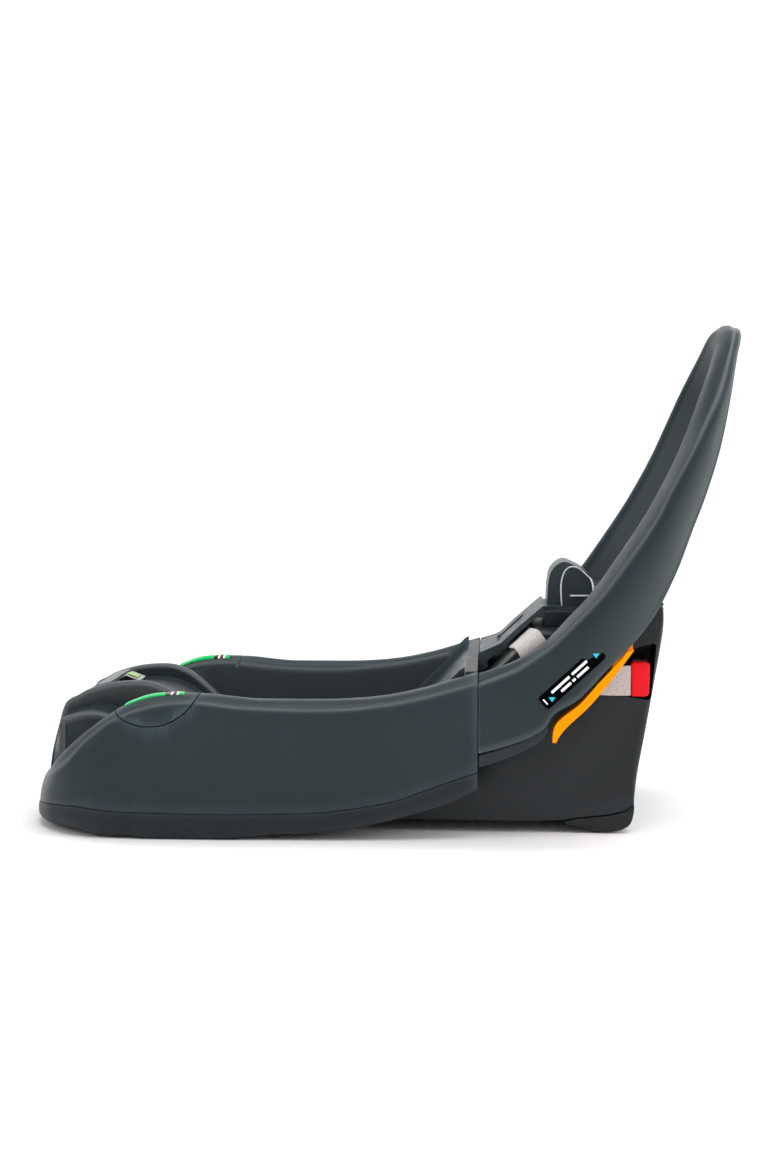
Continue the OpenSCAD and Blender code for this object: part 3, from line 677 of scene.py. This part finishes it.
def pan_section(p, n):
    top, low = parting_z(p.x) - 0.35, pan_z(p.x)
    r = min(13.0 - 5 * clamp((60 - abs(p.x + 200)) / 20, 0, 1), (top - low) * 0.6)
    section = [Vector((4.2, top + 5)), Vector((2.4, top + 5)), Vector((2.4, top - 0.1))]
    section += bend(Vector((1.2, top)), Vector((0.1, top)), Vector((0.0, top - 1.2)), 3)
    section += between(section[-1], Vector((0.4, low + r)), 3, Vector((-0.3, 0)))
    section += bend(Vector((0.4, low + r)), Vector((1.2, low + 0.4)), Vector((r + 1, low)), 7)
    section += [Vector((r + 16, low)), Vector((r + 16, low + 3))]
    section += [Vector((r + 2, low + 3)), Vector((4.2, low + r + 2))]
    return [(q.x, q.y) for q in section]


# Plates of the underside: two ends along x and the distance of the inner edge from the middle.
PAN_STRIPS = [(-352, 2, 0), (2, 87, 131.8)]


def make_base_pan():
    bm = bmesh.new()
    add_loft(bm, squeezed_ends(around(pan_section, plan_outline()), 1.5))
    for x0, x1, inner in PAN_STRIPS:
        for sign in (RIGHT, LEFT):
            rows = []
            for k in range(25):
                x = x0 + (x1 - x0) * k / 24
                edge = plan_half_width(x) - 16
                ys = [inner + (edge - inner) * j / 8 for j in range(9)]
                rows.append([Vector((x, sign * y, pan_z(x) + 0.6 + pan_groove(x))) for y in ys])
            thick_sheet(bm, [[p + Vector((0, 0, 2.4)) for p in row] for row in rows], 2.4)
    add_piece("base_pan_shell", bm, "base", "pan_plastic", "base_pan")


def pan_groove(x):
    """Cross grooves that stiffen the underside."""
    return 1.6 if abs((x + 120) % 40 - 20) < 4 and x > -160 else 0.0


# ---- nose console ----------------------------------------

RIDGE = [(-362, 50), (-359, 71.5), (-353, 95), (-344.5, 122.5), (-331.6, 131), (-318, 138), (-290, 145),
         (-261, 146.4), (-243, 141.8), (-228, 133), (-203, 111), (-182, 84), (-176, 62)]
CHANNEL = [(-361, 50), (-357.5, 71), (-352, 94), (-342, 111), (-330, 118.5), (-318, 124), (-290, 131),
           (-262, 132), (-243, 127), (-228, 119), (-208, 101), (-190, 78), (-184, 62)]
STEP = [(-354, 50), (-351.5, 64), (-348.5, 79), (-340, 110), (-330, 115.8), (-318, 119.4), (-305, 121),
        (-288, 118), (-270, 111), (-254, 102), (-240, 90), (-228, 74), (-224, 62)]


def console_rows():
    """Profiles across the console as (y, points), from the middle to the side."""
    ridge, channel, step = (spline(p, 6) for p in (RIDGE, CHANNEL, STEP))
    # Each entry of the plan is y, profile, inset.
    plan = [(0, channel, 0), (30, channel, 0), (58, channel, 0), (64, channel, 0.3), (66.5, channel, -1.2)]
    plan += [(67, ridge, 5.0), (67.5, ridge, 2.6), (68.8, ridge, 0.9), (71, ridge, 0)]
    plan += [(76, ridge, 0.3), (80, ridge, 0), (83, ridge, 0.7), (84.6, ridge, 2.4), (85.3, ridge, 5.0)]
    plan += [(86, step, -2.6), (88.5, step, -0.6), (92, step, 0), (112, step, 0), (122, step, 0)]
    plan += [(126, step, 0.8), (128.4, step, 2.8), (129, step, 8)]
    rows = []
    for y, profile, inset in plan:
        moved = []
        for i, p in enumerate(profile):
            t = tangent(profile, i)
            moved.append(p + Vector((t.y, -t.x)) * inset)
        rows.append((y, moved))
    return rows


def make_console():
    bm = bmesh.new()
    half = console_rows()
    rows = [(-y, p) for y, p in reversed(half)] + half[1:]
    lofted = []
    for y, profile in rows:
        edge = Vector((profile[-1].x, 58)), Vector((profile[0].x, 47))
        limit = nose_limit(abs(y))
        points = [Vector((max(p.x, limit), y, p.y)) for p in list(profile) + list(edge)]
        lofted.append(points)
    # Painted highlights along the rounded edges of the ridges and the side step.
    edges = {67.5: 0.5, 68.8: 0.9, 71: 0.2, 83: 0.3, 84.6: 0.9, 85.3: 0.4, 126: 0.3, 128.4: 0.7}

    def painted_light(i, k):
        return edges.get(abs(rows[i][0]), 0.0) if lofted[i][k].z > 75 else 0.0

    add_loft(bm, lofted, painted_light=painted_light)
    console = new_piece("nose_console_shell", bm, MATERIALS["console_plastic"])
    cut(console, upright_tool((-334.8, -300.2), 58.8, (40, 165), 3))
    cut(console, upright_tool((-299.8, -274), 24, (121, 165), 2))
    place(console, "base", "console_plastic", "nose_console")


def upright_tool(xs, half, levels, radius):
    """A cutter with a rounded oblong plan, reaching from -half to half across the base."""
    corners = [(xs[0], -half), (xs[1], -half), (xs[1], half), (xs[0], half)]
    outline = round_outline(corners, radius)
    bm = bmesh.new()
    add_loft(bm, [[Vector((p.x, p.y, z)) for p in outline] for z in levels])
    return new_piece("cutter", bm, MATERIALS["console_plastic"])


def nose_limit(y):
    """The furthest forward that the console may reach at a distance y from the middle."""
    for x in range(-364, -250, 2):
        if plan_half_width(x) - band_width(x) > y + 2:
            return x + 2
    return -250


# ---- hoop ------------------------------------------------

# Stations up the hoop: inner front edge, outer front edge, outer back edge, inner back edge.
HOOP = [
    ((92, 148, 161.5), (92, 186, 161.0), (92, 186, 90), (92, 150, 90)),
    ((110, 148, 169.5), (111, 186, 168.2), (125, 186, 99.5), (125, 150, 99.5)),
    ((127, 149, 178.5), (129.5, 186, 176.2), (155, 186, 113.5), (155, 150, 113.5)),
    ((144, 149, 190), (147.5, 186, 187.8), (168, 186, 131), (168, 150, 131)),
    ((160, 150, 202), (164.5, 186, 200.6), (192, 186, 146), (192, 150, 146)),
    ((181, 150, 224.5), (188, 186, 224), (218, 186, 174), (218, 150, 174)),
    ((203, 150, 249), (212, 186, 249.5), (243, 186, 200), (243, 150, 200)),
    ((225, 150, 280), (236.5, 186, 282.5), (266, 183.5, 231), (266, 150, 231)),
    ((252, 149, 321), (263, 185, 321.5), (285.5, 180, 270), (285.5, 150, 270)),
    ((270, 145, 352), (280, 182, 355), (301, 175.5, 311), (301, 147, 311)),
    ((286, 139, 384), (296.5, 177, 385), (314.5, 170, 346), (314.5, 141, 346)),
    ((300.5, 129, 419), (311, 166, 414), (328.5, 161, 390), (328, 130, 387)),
    ((315.5, 108, 457), (328, 147, 449), (340, 141, 437), (338, 108, 431)),
    ((329, 74, 489), (343, 110, 489), (351, 104, 482), (345, 76, 459)),
    ((337, 38, 511.5), (352, 60, 512.5), (361, 58, 506.5), (350, 42, 475.5)),
    ((342, 0, 518.5), (355.5, 0, 522), (366, 0, 513.5), (353, 0, 480.5)),
]
HOOP_STEPS = 9
OUTER_POINTS = 9
# Painted sheen on the hoop's outer face and painted light on its inner face.
OUTER_PAINTED_SHEEN, INNER_PAINTED_LIGHT = 0.85, 0.35
CHANNEL_FROM, CHANNEL_TO, COVER_FROM = 3.3, 7.1, 7.2


def hoop_stations():
    """Each station as (place along the hoop, its four corners), right foot to left foot."""
    half = []
    for edge in zip(*HOOP):
        half.append(spline([(x, -y, z) for x, y, z in edge], HOOP_STEPS))
    right = [(i / HOOP_STEPS, [edge[i] for edge in half]) for i in range(len(half[0]))]
    left = [(s, [Vector((p.x, -p.y, p.z)) for p in corners]) for s, corners in reversed(right[:-1])]
    return right + left


def recess_depth(s):
    """How deep the hoop's back is hollowed at a place along it."""
    opened = clamp((s - CHANNEL_FROM) / 0.4, 0, 1) * clamp((CHANNEL_TO - s) / 0.4, 0, 1)
    return 1.4 + 13.6 * opened + 0.8 * clamp((s - COVER_FROM) / 0.3, 0, 1)


def rounded_corner(before, at, after, r, steps=4):
    return bend(at + (before - at).normalized() * r, at, at + (after - at).normalized() * r, steps)


# Painted highlights on the first points of a hoop ring, round its front edges, up to its outer face.
HOOP_EDGE_HIGHLIGHT = [0, 0.1, 0.3, 0.2, 0, 0] + [0] * 5 + [0, 0.1, 0.6, 0.9, 0.3, 0]


def hoop_painted_light(s, k):
    """Painted highlights on the hoop's front edges, a painted sheen on its outer face growing towards the
    back, painted light on its inner face.
    """
    if k < len(HOOP_EDGE_HIGHLIGHT):
        return HOOP_EDGE_HIGHLIGHT[k]
    outer = k - len(HOOP_EDGE_HIGHLIGHT)
    if outer < OUTER_POINTS:
        return OUTER_PAINTED_SHEEN * outer / (OUTER_POINTS - 1) * clamp((s - 4) / 5, 0, 1)
    return INNER_PAINTED_LIGHT


def hoop_ring(s, corners):
    c, e, b, d = corners
    across = (d - b).normalized()
    front = ((c + e) / 2 - (b + d) / 2).normalized()
    out = (e - c).normalized()
    rim, depth = 3.4, recess_depth(s)
    r = min(6.0, (e - c).length * 0.4, (b - e).length * 0.4)
    crown = 0.6 + 6.5 * clamp(1 - s / 4.5, 0, 1) ** 1.5 + 2.4 * clamp(1 - abs(s - 12.5) / 1.8, 0, 1)
    ring = rounded_corner(d, c, e, r, 5)
    ring += between(ring[-1], e - (e - c).normalized() * r, 5, front * crown)
    ring += rounded_corner(c, e, b, r, 5)
    swell = out * (0.9 + 1.8 * clamp((s - 4) / 4, 0, 1))
    ring += between(ring[-1], b + (e - b).normalized() * 2.2, OUTER_POINTS, swell)
    ring += rounded_corner(e, b, d, 2.0, 3)
    ring += [b + across * rim, b + across * (rim + 0.5) + front * depth]
    ring += [d - across * (rim + 0.5) + front * depth, d - across * rim]
    ring += rounded_corner(b, d, c, 2.0, 3)
    ring += between(ring[-1], c + (d - c).normalized() * r, 6, -out * 0.5)
    return ring


def make_hoop():
    bm = bmesh.new()
    stations = hoop_stations()
    places = [stations[0][0]] + [s for s, corners in stations] + [stations[-1][0]]
    rings = squeezed_ends([hoop_ring(s, corners) for s, corners in stations])
    # The hoop carries painted highlights on its front edges and painted sheen and painted light on its faces.
    add_loft(bm, rings, painted_light=lambda i, k: hoop_painted_light(places[i], k))
    add_piece("hoop_shell_skin", bm, "base", "shell_plastic", "hoop_shell")
    bm = bmesh.new()
    rows = []
    for s, (c, e, b, d) in stations:
        if s < COVER_FROM:
            continue
        across, front = (d - b).normalized(), ((c + e) / 2 - (b + d) / 2).normalized()
        left, right = b + across * 4.3, d - across * 4.3
        row = [left + front * 2.0, left + front * 1.0, left + across * 0.7 + front * 0.4]
        row += between(left + across + front * 0.35, right - across + front * 0.35, 3, -front * 0.3)
        row += [right - across * 0.7 + front * 0.4, right + front * 1.0, right + front * 2.0]
        rows.append(row)
    add_loft(bm, rows)
    add_piece("hoop_back_cover_skin", bm, "base", "console_plastic", "hoop_back_cover")


def make_trim(side, sign):
    """The dark strip under the foot of the hoop."""
    top = spline([(92.3, 88.4), (110, 94), (125, 99.1), (145, 108.5), (160, 117.6)], 6)
    low = [(161, 113.5), (157.5, 107.5), (152, 102), (144, 96.5), (116, 84), (92.3, 76.4)]
    outline = top + spline(low, 4)
    bm = bmesh.new()
    y0, y1 = sorted((sign * (HALF_WIDTH - 1.5), sign * TUB_HALF))
    add_prism(bm, outline, y0, y1, 1.6)
    add_piece(f"hoop_trim_{side}_skin", bm, "base", "pan_plastic", f"hoop_trim_{side}")


# ---- labels, levels and levers ---------------------------

LABEL_AT = Vector((184, 167))
LABEL_ANGLE = math.radians(42.8)


def on_label(u, v):
    """A point of the label, u along it and v across it, as (x, z)."""
    c, s = math.cos(LABEL_ANGLE), math.sin(LABEL_ANGLE)
    return Vector((LABEL_AT.x + u * c - v * s, LABEL_AT.y + u * s + v * c))


def flat_shape(bm, outline, sign, height, thickness=0.25):
    """An outline on the hoop's outer face, standing height above it."""
    outer = HALF_WIDTH + height
    y0, y1 = sorted((sign * outer, sign * (outer - thickness)))
    add_loft(bm, [at_y(outline, y) for y in (y0, y1)])


def bar(u0, u1, v, half_height):
    corners = [(u0, v - half_height), (u1, v - half_height), (u1, v + half_height), (u0, v + half_height)]
    return [on_label(p.x, p.y) for p in round_outline(corners, half_height * 0.8, 3)]


def make_label(side, sign):
    bm = bmesh.new()
    plate = round_outline([(-39.2, -7.7), (39.2, -7.7), (39.2, 7.7), (-39.2, 7.7)], 4, 5)
    flat_shape(bm, [on_label(p.x, p.y) for p in plate], sign, 1.15, 1.6)
    add_piece(f"belt_label_{side}_film", bm, "base", "label_film", f"belt_label_{side}")
    marks = bmesh.new()
    flip = -sign
    for u, v in ((-29.0 * flip, -2.6), (32.0 * flip, 0.2)):
        down = Vector((math.sin(LABEL_ANGLE), math.cos(LABEL_ANGLE)))
        level = Vector((math.cos(LABEL_ANGLE), -math.sin(LABEL_ANGLE)))
        tip = Vector((u, v)) - down * 2.6
        wings = [Vector((u, v)) + down * 2.2 + level * 3.2, Vector((u, v)) + down * 2.2 - level * 3.2]
        flat_shape(marks, [on_label(q.x, q.y) for q in (tip, *wings)], sign, 1.3)
    place(new_piece(f"belt_label_{side}_arrows", marks, PRINT["cyan"]), "base", "label_film")
    rows = bmesh.new()
    for v, spans in ((2.6, ((-25, -1), (2, 22))), (-2.8, ((-17, -4), (-2, 2), (4, 19)))):
        for ends in spans:
            u0, u1 = sorted(u * flip for u in ends)
            flat_shape(rows, bar(u0, u1, v, 1.35), sign, 1.3)
    flat_shape(rows, bar(-36.2, -34.8, 0, 3.4), sign, 1.3)
    place(new_piece(f"belt_label_{side}_bars", rows, PRINT["white"]), "base", "label_film")


def crest_block(name, x0, x1, y0, y1, material, rise=1.9, steps=14, sink=3.0):
    """A strip let into the top of a rail, following its crest."""
    bm = bmesh.new()
    rows = []
    for i in range(steps + 1):
        x = x0 + (x1 - x0) * i / steps
        levels = band_width(x), crease_z(x), crown_z(x), inner_z(x)
        ends = 0.8 * (1 if i in (0, steps) else 0)
        row = []
        for k in range(7):
            t = k / 6
            y = y0 + (y1 - y0) * t
            top = rail_top(PLAN[0][1] - abs(y), *levels)
            row.append(Vector((x, y, top + rise * math.sin(math.pi * (0.2 + 0.6 * t)) - ends)))
        row += [Vector((x, y1, row[-1].z - sink)), Vector((x, y0, row[0].z - sink))]
        rows.append(row)
    add_loft(bm, rows)
    return new_piece(name, bm, material)


def make_levels(side, sign):
    y0, y1 = sorted((sign * 154, sign * 171))
    strip = crest_block(f"level_strip_{side}_lens", -264, -222.2, y0, y1, MATERIALS["level_green"])
    place(strip, "base", "level_green", f"level_strip_{side}")
    black = MATERIALS["vial_black"]
    tick = crest_block(f"level_tick_{side}", -249.6, -246.4, y0 * 0.9995, y1 * 1.0005, black, 1.6, 2)
    place(tick, "base", "vial_black")
    vial = crest_block(f"level_vial_{side}_lens", -222, -217, y0, y1, black, 1.4, 6)
    place(vial, "base", "vial_black", f"level_vial_{side}")
    marks = ((-217, -215, "white", "a"), (-215, -211, "brown", "b"), (-211, -209, "white", "c"))
    for x0, x1, paint, label in marks:
        mark = crest_block(f"level_mark_{side}_{label}", x0, x1, y0, y1, PRINT[paint], 1.5, 3)
        place(mark, "base", "vial_black")
    end = crest_block(f"level_end_{side}", -209, -203.5, y0, y1, MATERIALS["level_green"], 1.2, 5)
    place(end, "base", "level_green")


def make_indicator():
    """The level gauge in the console: a dark wedge with a narrow lime window."""
    wedge = rounded_copy("level_indicator", 1.0, MATERIALS["vial_black"], "level_indicator_wedge")
    place(wedge, "base", "vial_black", "level_indicator")
    bm = bmesh.new()
    rows = []
    across = ((-8, -1), (-8, 0.2), (0, 0.6), (8, 0.2), (8, -1))
    for x, z in ((-295.5, 143.2), (-293, 144.9), (-290, 144.8), (-281, 141.2)):
        rows.append([Vector((x, y, z + rise)) for y, rise in across])
    add_loft(bm, rows)
    add_piece("level_indicator_window", bm, "base", "indicator_green", "level_indicator")


def make_lever(side):
    node = f"lock_off_lever_{side}"
    place(rounded_copy(node, 1.0, MATERIALS["lever_orange"]), f"lever_{side}", "lever_orange", node)


# ---- rear housing ----------------------------------------


def housing_outline():
    top = [(8, 12), (8, 56), (44, 100), (92, 151), (150, 205), (215, 205), (215, 233.2), (274.6, 236)]
    back = spline([(278.2, 231), (277.8, 206), (270, 157), (261, 103), (254, 64), (250.6, 36)], 5)
    low = [(250.4, 30.4), (241, 23.2), (224, 19.3), (195, 16.1), (178, 13.2), (150, 12)]
    return [Vector(p) for p in top] + back + [Vector(p) for p in low]


def stacked(name, outline, half, radius, material, weight, cuts=7):
    """A body with side faces at +-half, whose side edges are rounded by radius times weight."""
    rows = []
    for i in range(cuts + 1):
        a = math.pi / 2 * i / cuts
        rows.append((half - radius * (1 - math.cos(a)), radius * (1 - math.sin(a))))
    places = [(-y, r) for y, r in rows] + [(y, r) for y, r in reversed(rows)]
    bm = bmesh.new()
    add_loft(bm, [at_y(inset_outline(outline, r, weight), y) for y, r in places])
    return new_piece(name, bm, material)


def window_tool(sign):
    corners = [(216, 146), (244.5, 140.3), (266.2, 136.8), (271.3, 196), (249, 190)]
    bm = bmesh.new()
    outline = round_outline(corners, [2, 5, 5, 5, 4], 5)
    y0, y1 = sorted((sign * 66, sign * 134))
    add_loft(bm, [at_y(outline, y) for y in (y0, y1)])
    return new_piece("window", bm, MATERIALS["housing_plastic"])


def make_housing():
    def weight(p):
        if p.x > 240:
            return 0.08 + 0.92 * clamp((p.y - 34) / 25, 0, 1) - 0.7 * clamp((p.y - 200) / 18, 0, 1)
        return 0.5 if p.y > 200 and p.x > 210 else 0.25 if p.y > 31 else 0.08

    material = MATERIALS["housing_plastic"]
    housing = stacked("rear_housing_shell", housing_outline(), HOUSING_HALF, 8, material, weight)
    for sign in (RIGHT, LEFT):
        cut(housing, window_tool(sign))
    belly = bmesh.new()
    corners = ((88, -118), (246, -118), (246, 118), (88, 118))
    add_loft(belly, [[Vector((x, y, z)) for x, y in corners] for z in (-10, 110)])
    cut(housing, new_piece("belly", belly, MATERIALS["housing_plastic"]))
    place(housing, "base", "housing_plastic", "rear_housing")
    ribs = bmesh.new()
    for sign in (RIGHT, LEFT):
        for z in (102, 132):
            corners = [(100, z), (146, z), (146, z + 3), (100, z + 3)]
            y0, y1 = sorted((sign * 149.8, sign * 129))
            add_prism(ribs, round_outline(corners, 0.8, 2), y0, y1, 0.3)
    add_piece("housing_side_ribs", ribs, "base", "housing_plastic")


def make_foot():
    top = [(179, 12), (195, 15), (224, 18.4), (241, 22.4), (250.2, 29.6)]
    low = [(250.4, 27), (249.5, 19), (246.6, 10), (241, 5.6), (233, 2.6)]
    low += [(219, 2.2), (208, 3), (195, 6.4), (180, 10)]
    outline = [Vector(p) for p in top] + spline(low, 5)
    bm = bmesh.new()
    add_prism(bm, outline, -129.6, 129.6, 0.7)
    add_piece("foot_shoe_skin", bm, "level_foot", "housing_plastic", "foot_shoe")


ROUNDED = [
    ("rear_deck", 1.4, "base"), ("belt_bridge", 1.6, "base"), ("latch_tower", 1.2, "base"),
    ("crossbar", 1.2, "base"), ("release_button", 1.6, "release_button"),
    ("connector_body_right", 0.8, "connector_right"), ("connector_body_left", 0.8, "connector_left"),
    ("foot_frame", 0.7, "level_foot"),
    ("level_pawl", 0.4, "level_pawl"), ("bellcrank", 0.5, "bellcrank"), ("pawl_bracket", 0.6, "base"),
    ("connector_jaw_right", 0.4, "connector_jaw_right"), ("connector_jaw_left", 0.4, "connector_jaw_left"),
    ("grip_pads", 0.5, "base"),
]


def make_rounded_parts():
    slots = {s["node"]: s["material_slot"] for s in frame["record"]["subparts"]}
    for node, width, body in ROUNDED:
        slot = slots[node]
        place(rounded_copy(node, width, MATERIALS[slot]), body, slot, node)


FIN = [(178.6, 225.4), (177.6, 246), (180.6, 259.8), (187, 266)]
FIN += [(195.5, 265), (204, 258), (210.5, 249), (211.5, 225.4)]


def make_fin(side, sign):
    """A dark plate beside the tower with a bright rolled rim."""
    outline = spline(FIN, 5)
    bm = bmesh.new()
    y0, y1 = sorted((sign * 43.6, sign * 38.2))
    add_prism(bm, outline, y0, y1, 0.5)
    add_piece(f"tower_fin_{side}_plate", bm, "base", "console_plastic", f"tower_fin_{side}")
    bm = bmesh.new()
    rows = []
    ring = [(0.9 * math.cos(a), 0.9 * math.sin(a)) for a in (math.tau * k / 8 for k in range(8))]
    for i, p in enumerate(outline):
        t = tangent(outline, i)
        n = Vector((t.y, -t.x))
        rows.append([Vector((p.x - n.x * u, sign * (43.2 + v), p.y - n.y * u)) for u, v in ring])
    add_loft(bm, rows)
    add_piece(f"tower_fin_{side}_rim", bm, "base", "bright_trim", f"tower_fin_{side}")
    bm = bmesh.new()
    y0, y1 = sorted((sign * 44.6, sign * 43.2))
    corners = [(187, 234.6), (209, 234.6), (209, 236.8), (187, 236.8)]
    add_prism(bm, round_outline(corners, 0.9, 3), y0, y1, 0.4)
    add_piece(f"tower_fin_{side}_ledge", bm, "base", "bright_trim", f"tower_fin_{side}")


def make_connector_button(side, sign):
    """The red thumb button: a pillow with well-rounded corners."""
    low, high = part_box(f"connector_button_{side}")
    low, high = low / MM, high / MM
    corners = [(low.x - 3, low.z), (high.x + 0.8, low.z), (high.x + 1.8, high.z), (low.x - 4, high.z)]
    outline = round_outline(corners, [3, 5.5, 5.5, 4], 6)
    bm = bmesh.new()
    y0, y1 = sorted((sign * HOUSING_HALF, sign * 117.4))
    add_prism(bm, outline, y0, y1, 2.2)
    node = f"connector_button_{side}"
    add_piece(node + "_skin", bm, node, "connector_red", node)


# ---- webbing ---------------------------------------------


def ribbon(name, path, steps=8):
    """Webbing along (centre, direction across it) pairs, with a UV map in metres."""
    half, t = WEB_WIDTH / 2, WEB_THICKNESS / 2
    profile = [(-half, 0), (-half + 0.5, t), (-half + 1.8, t * 1.15)]
    profile += [(half * k / 4, t) for k in (-3, -2, -1, 0, 1, 2, 3)]
    profile += [(half - 1.8, t * 1.15), (half - 0.5, t), (half, 0)]
    profile += [(u, -v) for u, v in reversed(profile[1:-1])]
    centres = spline([p for p, w in path], steps)
    acrosses = spline([Vector(w).normalized() for p, w in path], steps)
    rows, lengths, run = [], [], 0.0
    for i, c in enumerate(centres):
        ahead = tangent(centres, i)
        w = (acrosses[i] - ahead * acrosses[i].dot(ahead)).normalized()
        n = w.cross(ahead).normalized()
        rows.append([c + w * u + n * v for u, v in profile])
        run += (c - centres[i - 1]).length if i else 0
        lengths.append(run)
    bm = bmesh.new()
    made = add_loft(bm, rows)
    places = {}
    for length, row in zip(lengths, made):
        places.update((vert, (u * MM, length * MM)) for vert, (u, v) in zip(row, profile))
    layer = bm.loops.layers.uv.new("weave")
    for face in bm.faces:
        for loop in face.loops:
            loop[layer].uv = places[loop.vert]
    return new_piece(name, bm, MATERIALS["webbing"], 50)


def make_webbing():
    """The anchor strap over the base, and its two tails down to the connectors."""
    slope = Vector((58, 0, 54)).normalized()
    middle = Vector((135.3, 0, 191.3)) + Vector((-0.68, 0, 0.73)) * 1.6
    flatter = Vector((0.78, 0, 0.625))

    def swept(y):
        share = clamp((abs(y) - 60) / 70, 0, 1)
        point = middle + Vector((6 * share, y, 6.2 * share + 0.25 * math.sin(y / 21)))
        return point, slope.lerp(flatter, share)

    across = [swept(y) for y in range(-122, 123, 12)]
    place(ribbon("anchor_webbing_middle", across, 4), "base", "webbing", "anchor_webbing")
    for side, sign in SIDES.items():
        def at(x, y, z):
            return Vector((x, sign * y, z))

        path = [swept(sign * 116), swept(sign * 133)]
        path += [(at(144, 140.5, 194.5), flatter), (at(151, 141, 184), slope)]
        path += [(at(168, 137, 169), Vector((0.62, 0, 0.78))), (at(190, 133, 160.5), Vector((0.25, 0, 0.97)))]
        path += [(at(222, 132.2, 157.6), Vector((0.05, 0, 1))), (at(245.2, 130.6, 157.4), Vector((0, 0, 1)))]
        tail = ribbon(f"anchor_webbing_{side}", path)
        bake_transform(tail)
        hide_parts("anchor_webbing")


# ---- stage -----------------------------------------------


def make_stage():
    """A pale round studio bowl: a flat floor that curves up into a wall."""
    profile = [(1.2, 0), (2.4, 0), (3.2, 0)]
    profile += [(3.2 + math.sin(a), 1 - math.cos(a)) for a in (0.26, 0.52, 0.79, 1.05, 1.31, 1.57)]
    profile.append((4.2, 3.6))
    bm = bmesh.new()
    turns = [math.tau * i / 72 for i in range(72)]
    rows = [[Vector((r * math.cos(a), r * math.sin(a), z)) for a in turns] for r, z in profile]
    made = add_loft(bm, rows, capped=False)
    bm.faces.new(made[0])
    p = Paint("backdrop", 0.9)
    p.link(p.ramp(p.noise(3, 2), [(0.3, (0.93, 0.93, 0.93)), (0.7, (0.95, 0.95, 0.95))]), "Base Color")
    p.shader.inputs["Specular IOR Level"].default_value = 0.05
    new_piece("backdrop", bm, p.material, to_mm=False)


def add_light(name, at, target, size, power):
    light = bpy.data.lights.new(name, "AREA")
    light.shape = "RECTANGLE"
    light.size, light.size_y = size
    light.energy = power
    lamp = bpy.data.objects.new(name, light)
    lamp.location = at
    lamp.rotation_euler = (Vector(target) - Vector(at)).to_track_quat("-Z", "Y").to_euler()
    bpy.context.scene.collection.objects.link(lamp)


def make_lights():
    world = bpy.data.worlds.new("studio")
    world.use_nodes = True
    sky = world.node_tree.nodes["Background"].inputs
    sky["Color"].default_value = (1, 1, 1, 1)
    sky["Strength"].default_value = 0.35
    bpy.context.scene.world = world
    add_light("overhead", (0.0, 0.3, 3.0), (0, 0.2, 0), (3.2, 0.8), 32)
    add_light("back_wash", (0.0, 0.9, 3.2), (0, 4.0, 0.4), (4.5, 1.2), 62)
    add_light("top_front", (0.6, -1.2, 2.6), (0.15, 0, 0.25), (2.2, 0.9), 26)
    add_light("left_key", (-2.2, -1.2, 1.5), (-0.1, 0, 0.2), (0.9, 1.4), 10)
    add_light("right_rim", (2.2, -0.7, 1.3), (0.3, 0, 0.3), (0.7, 1.6), 28)


def make_camera():
    camera = bpy.data.cameras.new("camera")
    camera.sensor_width = 36
    camera.sensor_fit = "AUTO"
    camera.lens = 57.85
    body = bpy.data.objects.new("camera", camera)
    body.location = (0.1073, -2.0286, 0.4029)
    yaw, pitch = math.radians(3.187), math.radians(4.501)
    ahead = Vector((-math.sin(yaw) * math.cos(pitch), math.cos(yaw) * math.cos(pitch), -math.sin(pitch)))
    body.rotation_euler = ahead.to_track_quat("-Z", "Y").to_euler()
    bpy.context.scene.collection.objects.link(body)
    bpy.context.scene.camera = body


# ---- the whole -------------------------------------------

make_camera()
make_stage()
make_lights()
make_front_shell()
make_base_pan()
make_console()
make_hoop()
make_housing()
make_foot()
make_indicator()
make_rounded_parts()
for side, sign in SIDES.items():
    make_trim(side, sign)
    make_fin(side, sign)
    make_label(side, sign)
    make_levels(side, sign)
    make_lever(side)
    make_connector_button(side, sign)
make_webbing()
bpy.context.scene.view_settings.view_transform = "Standard"
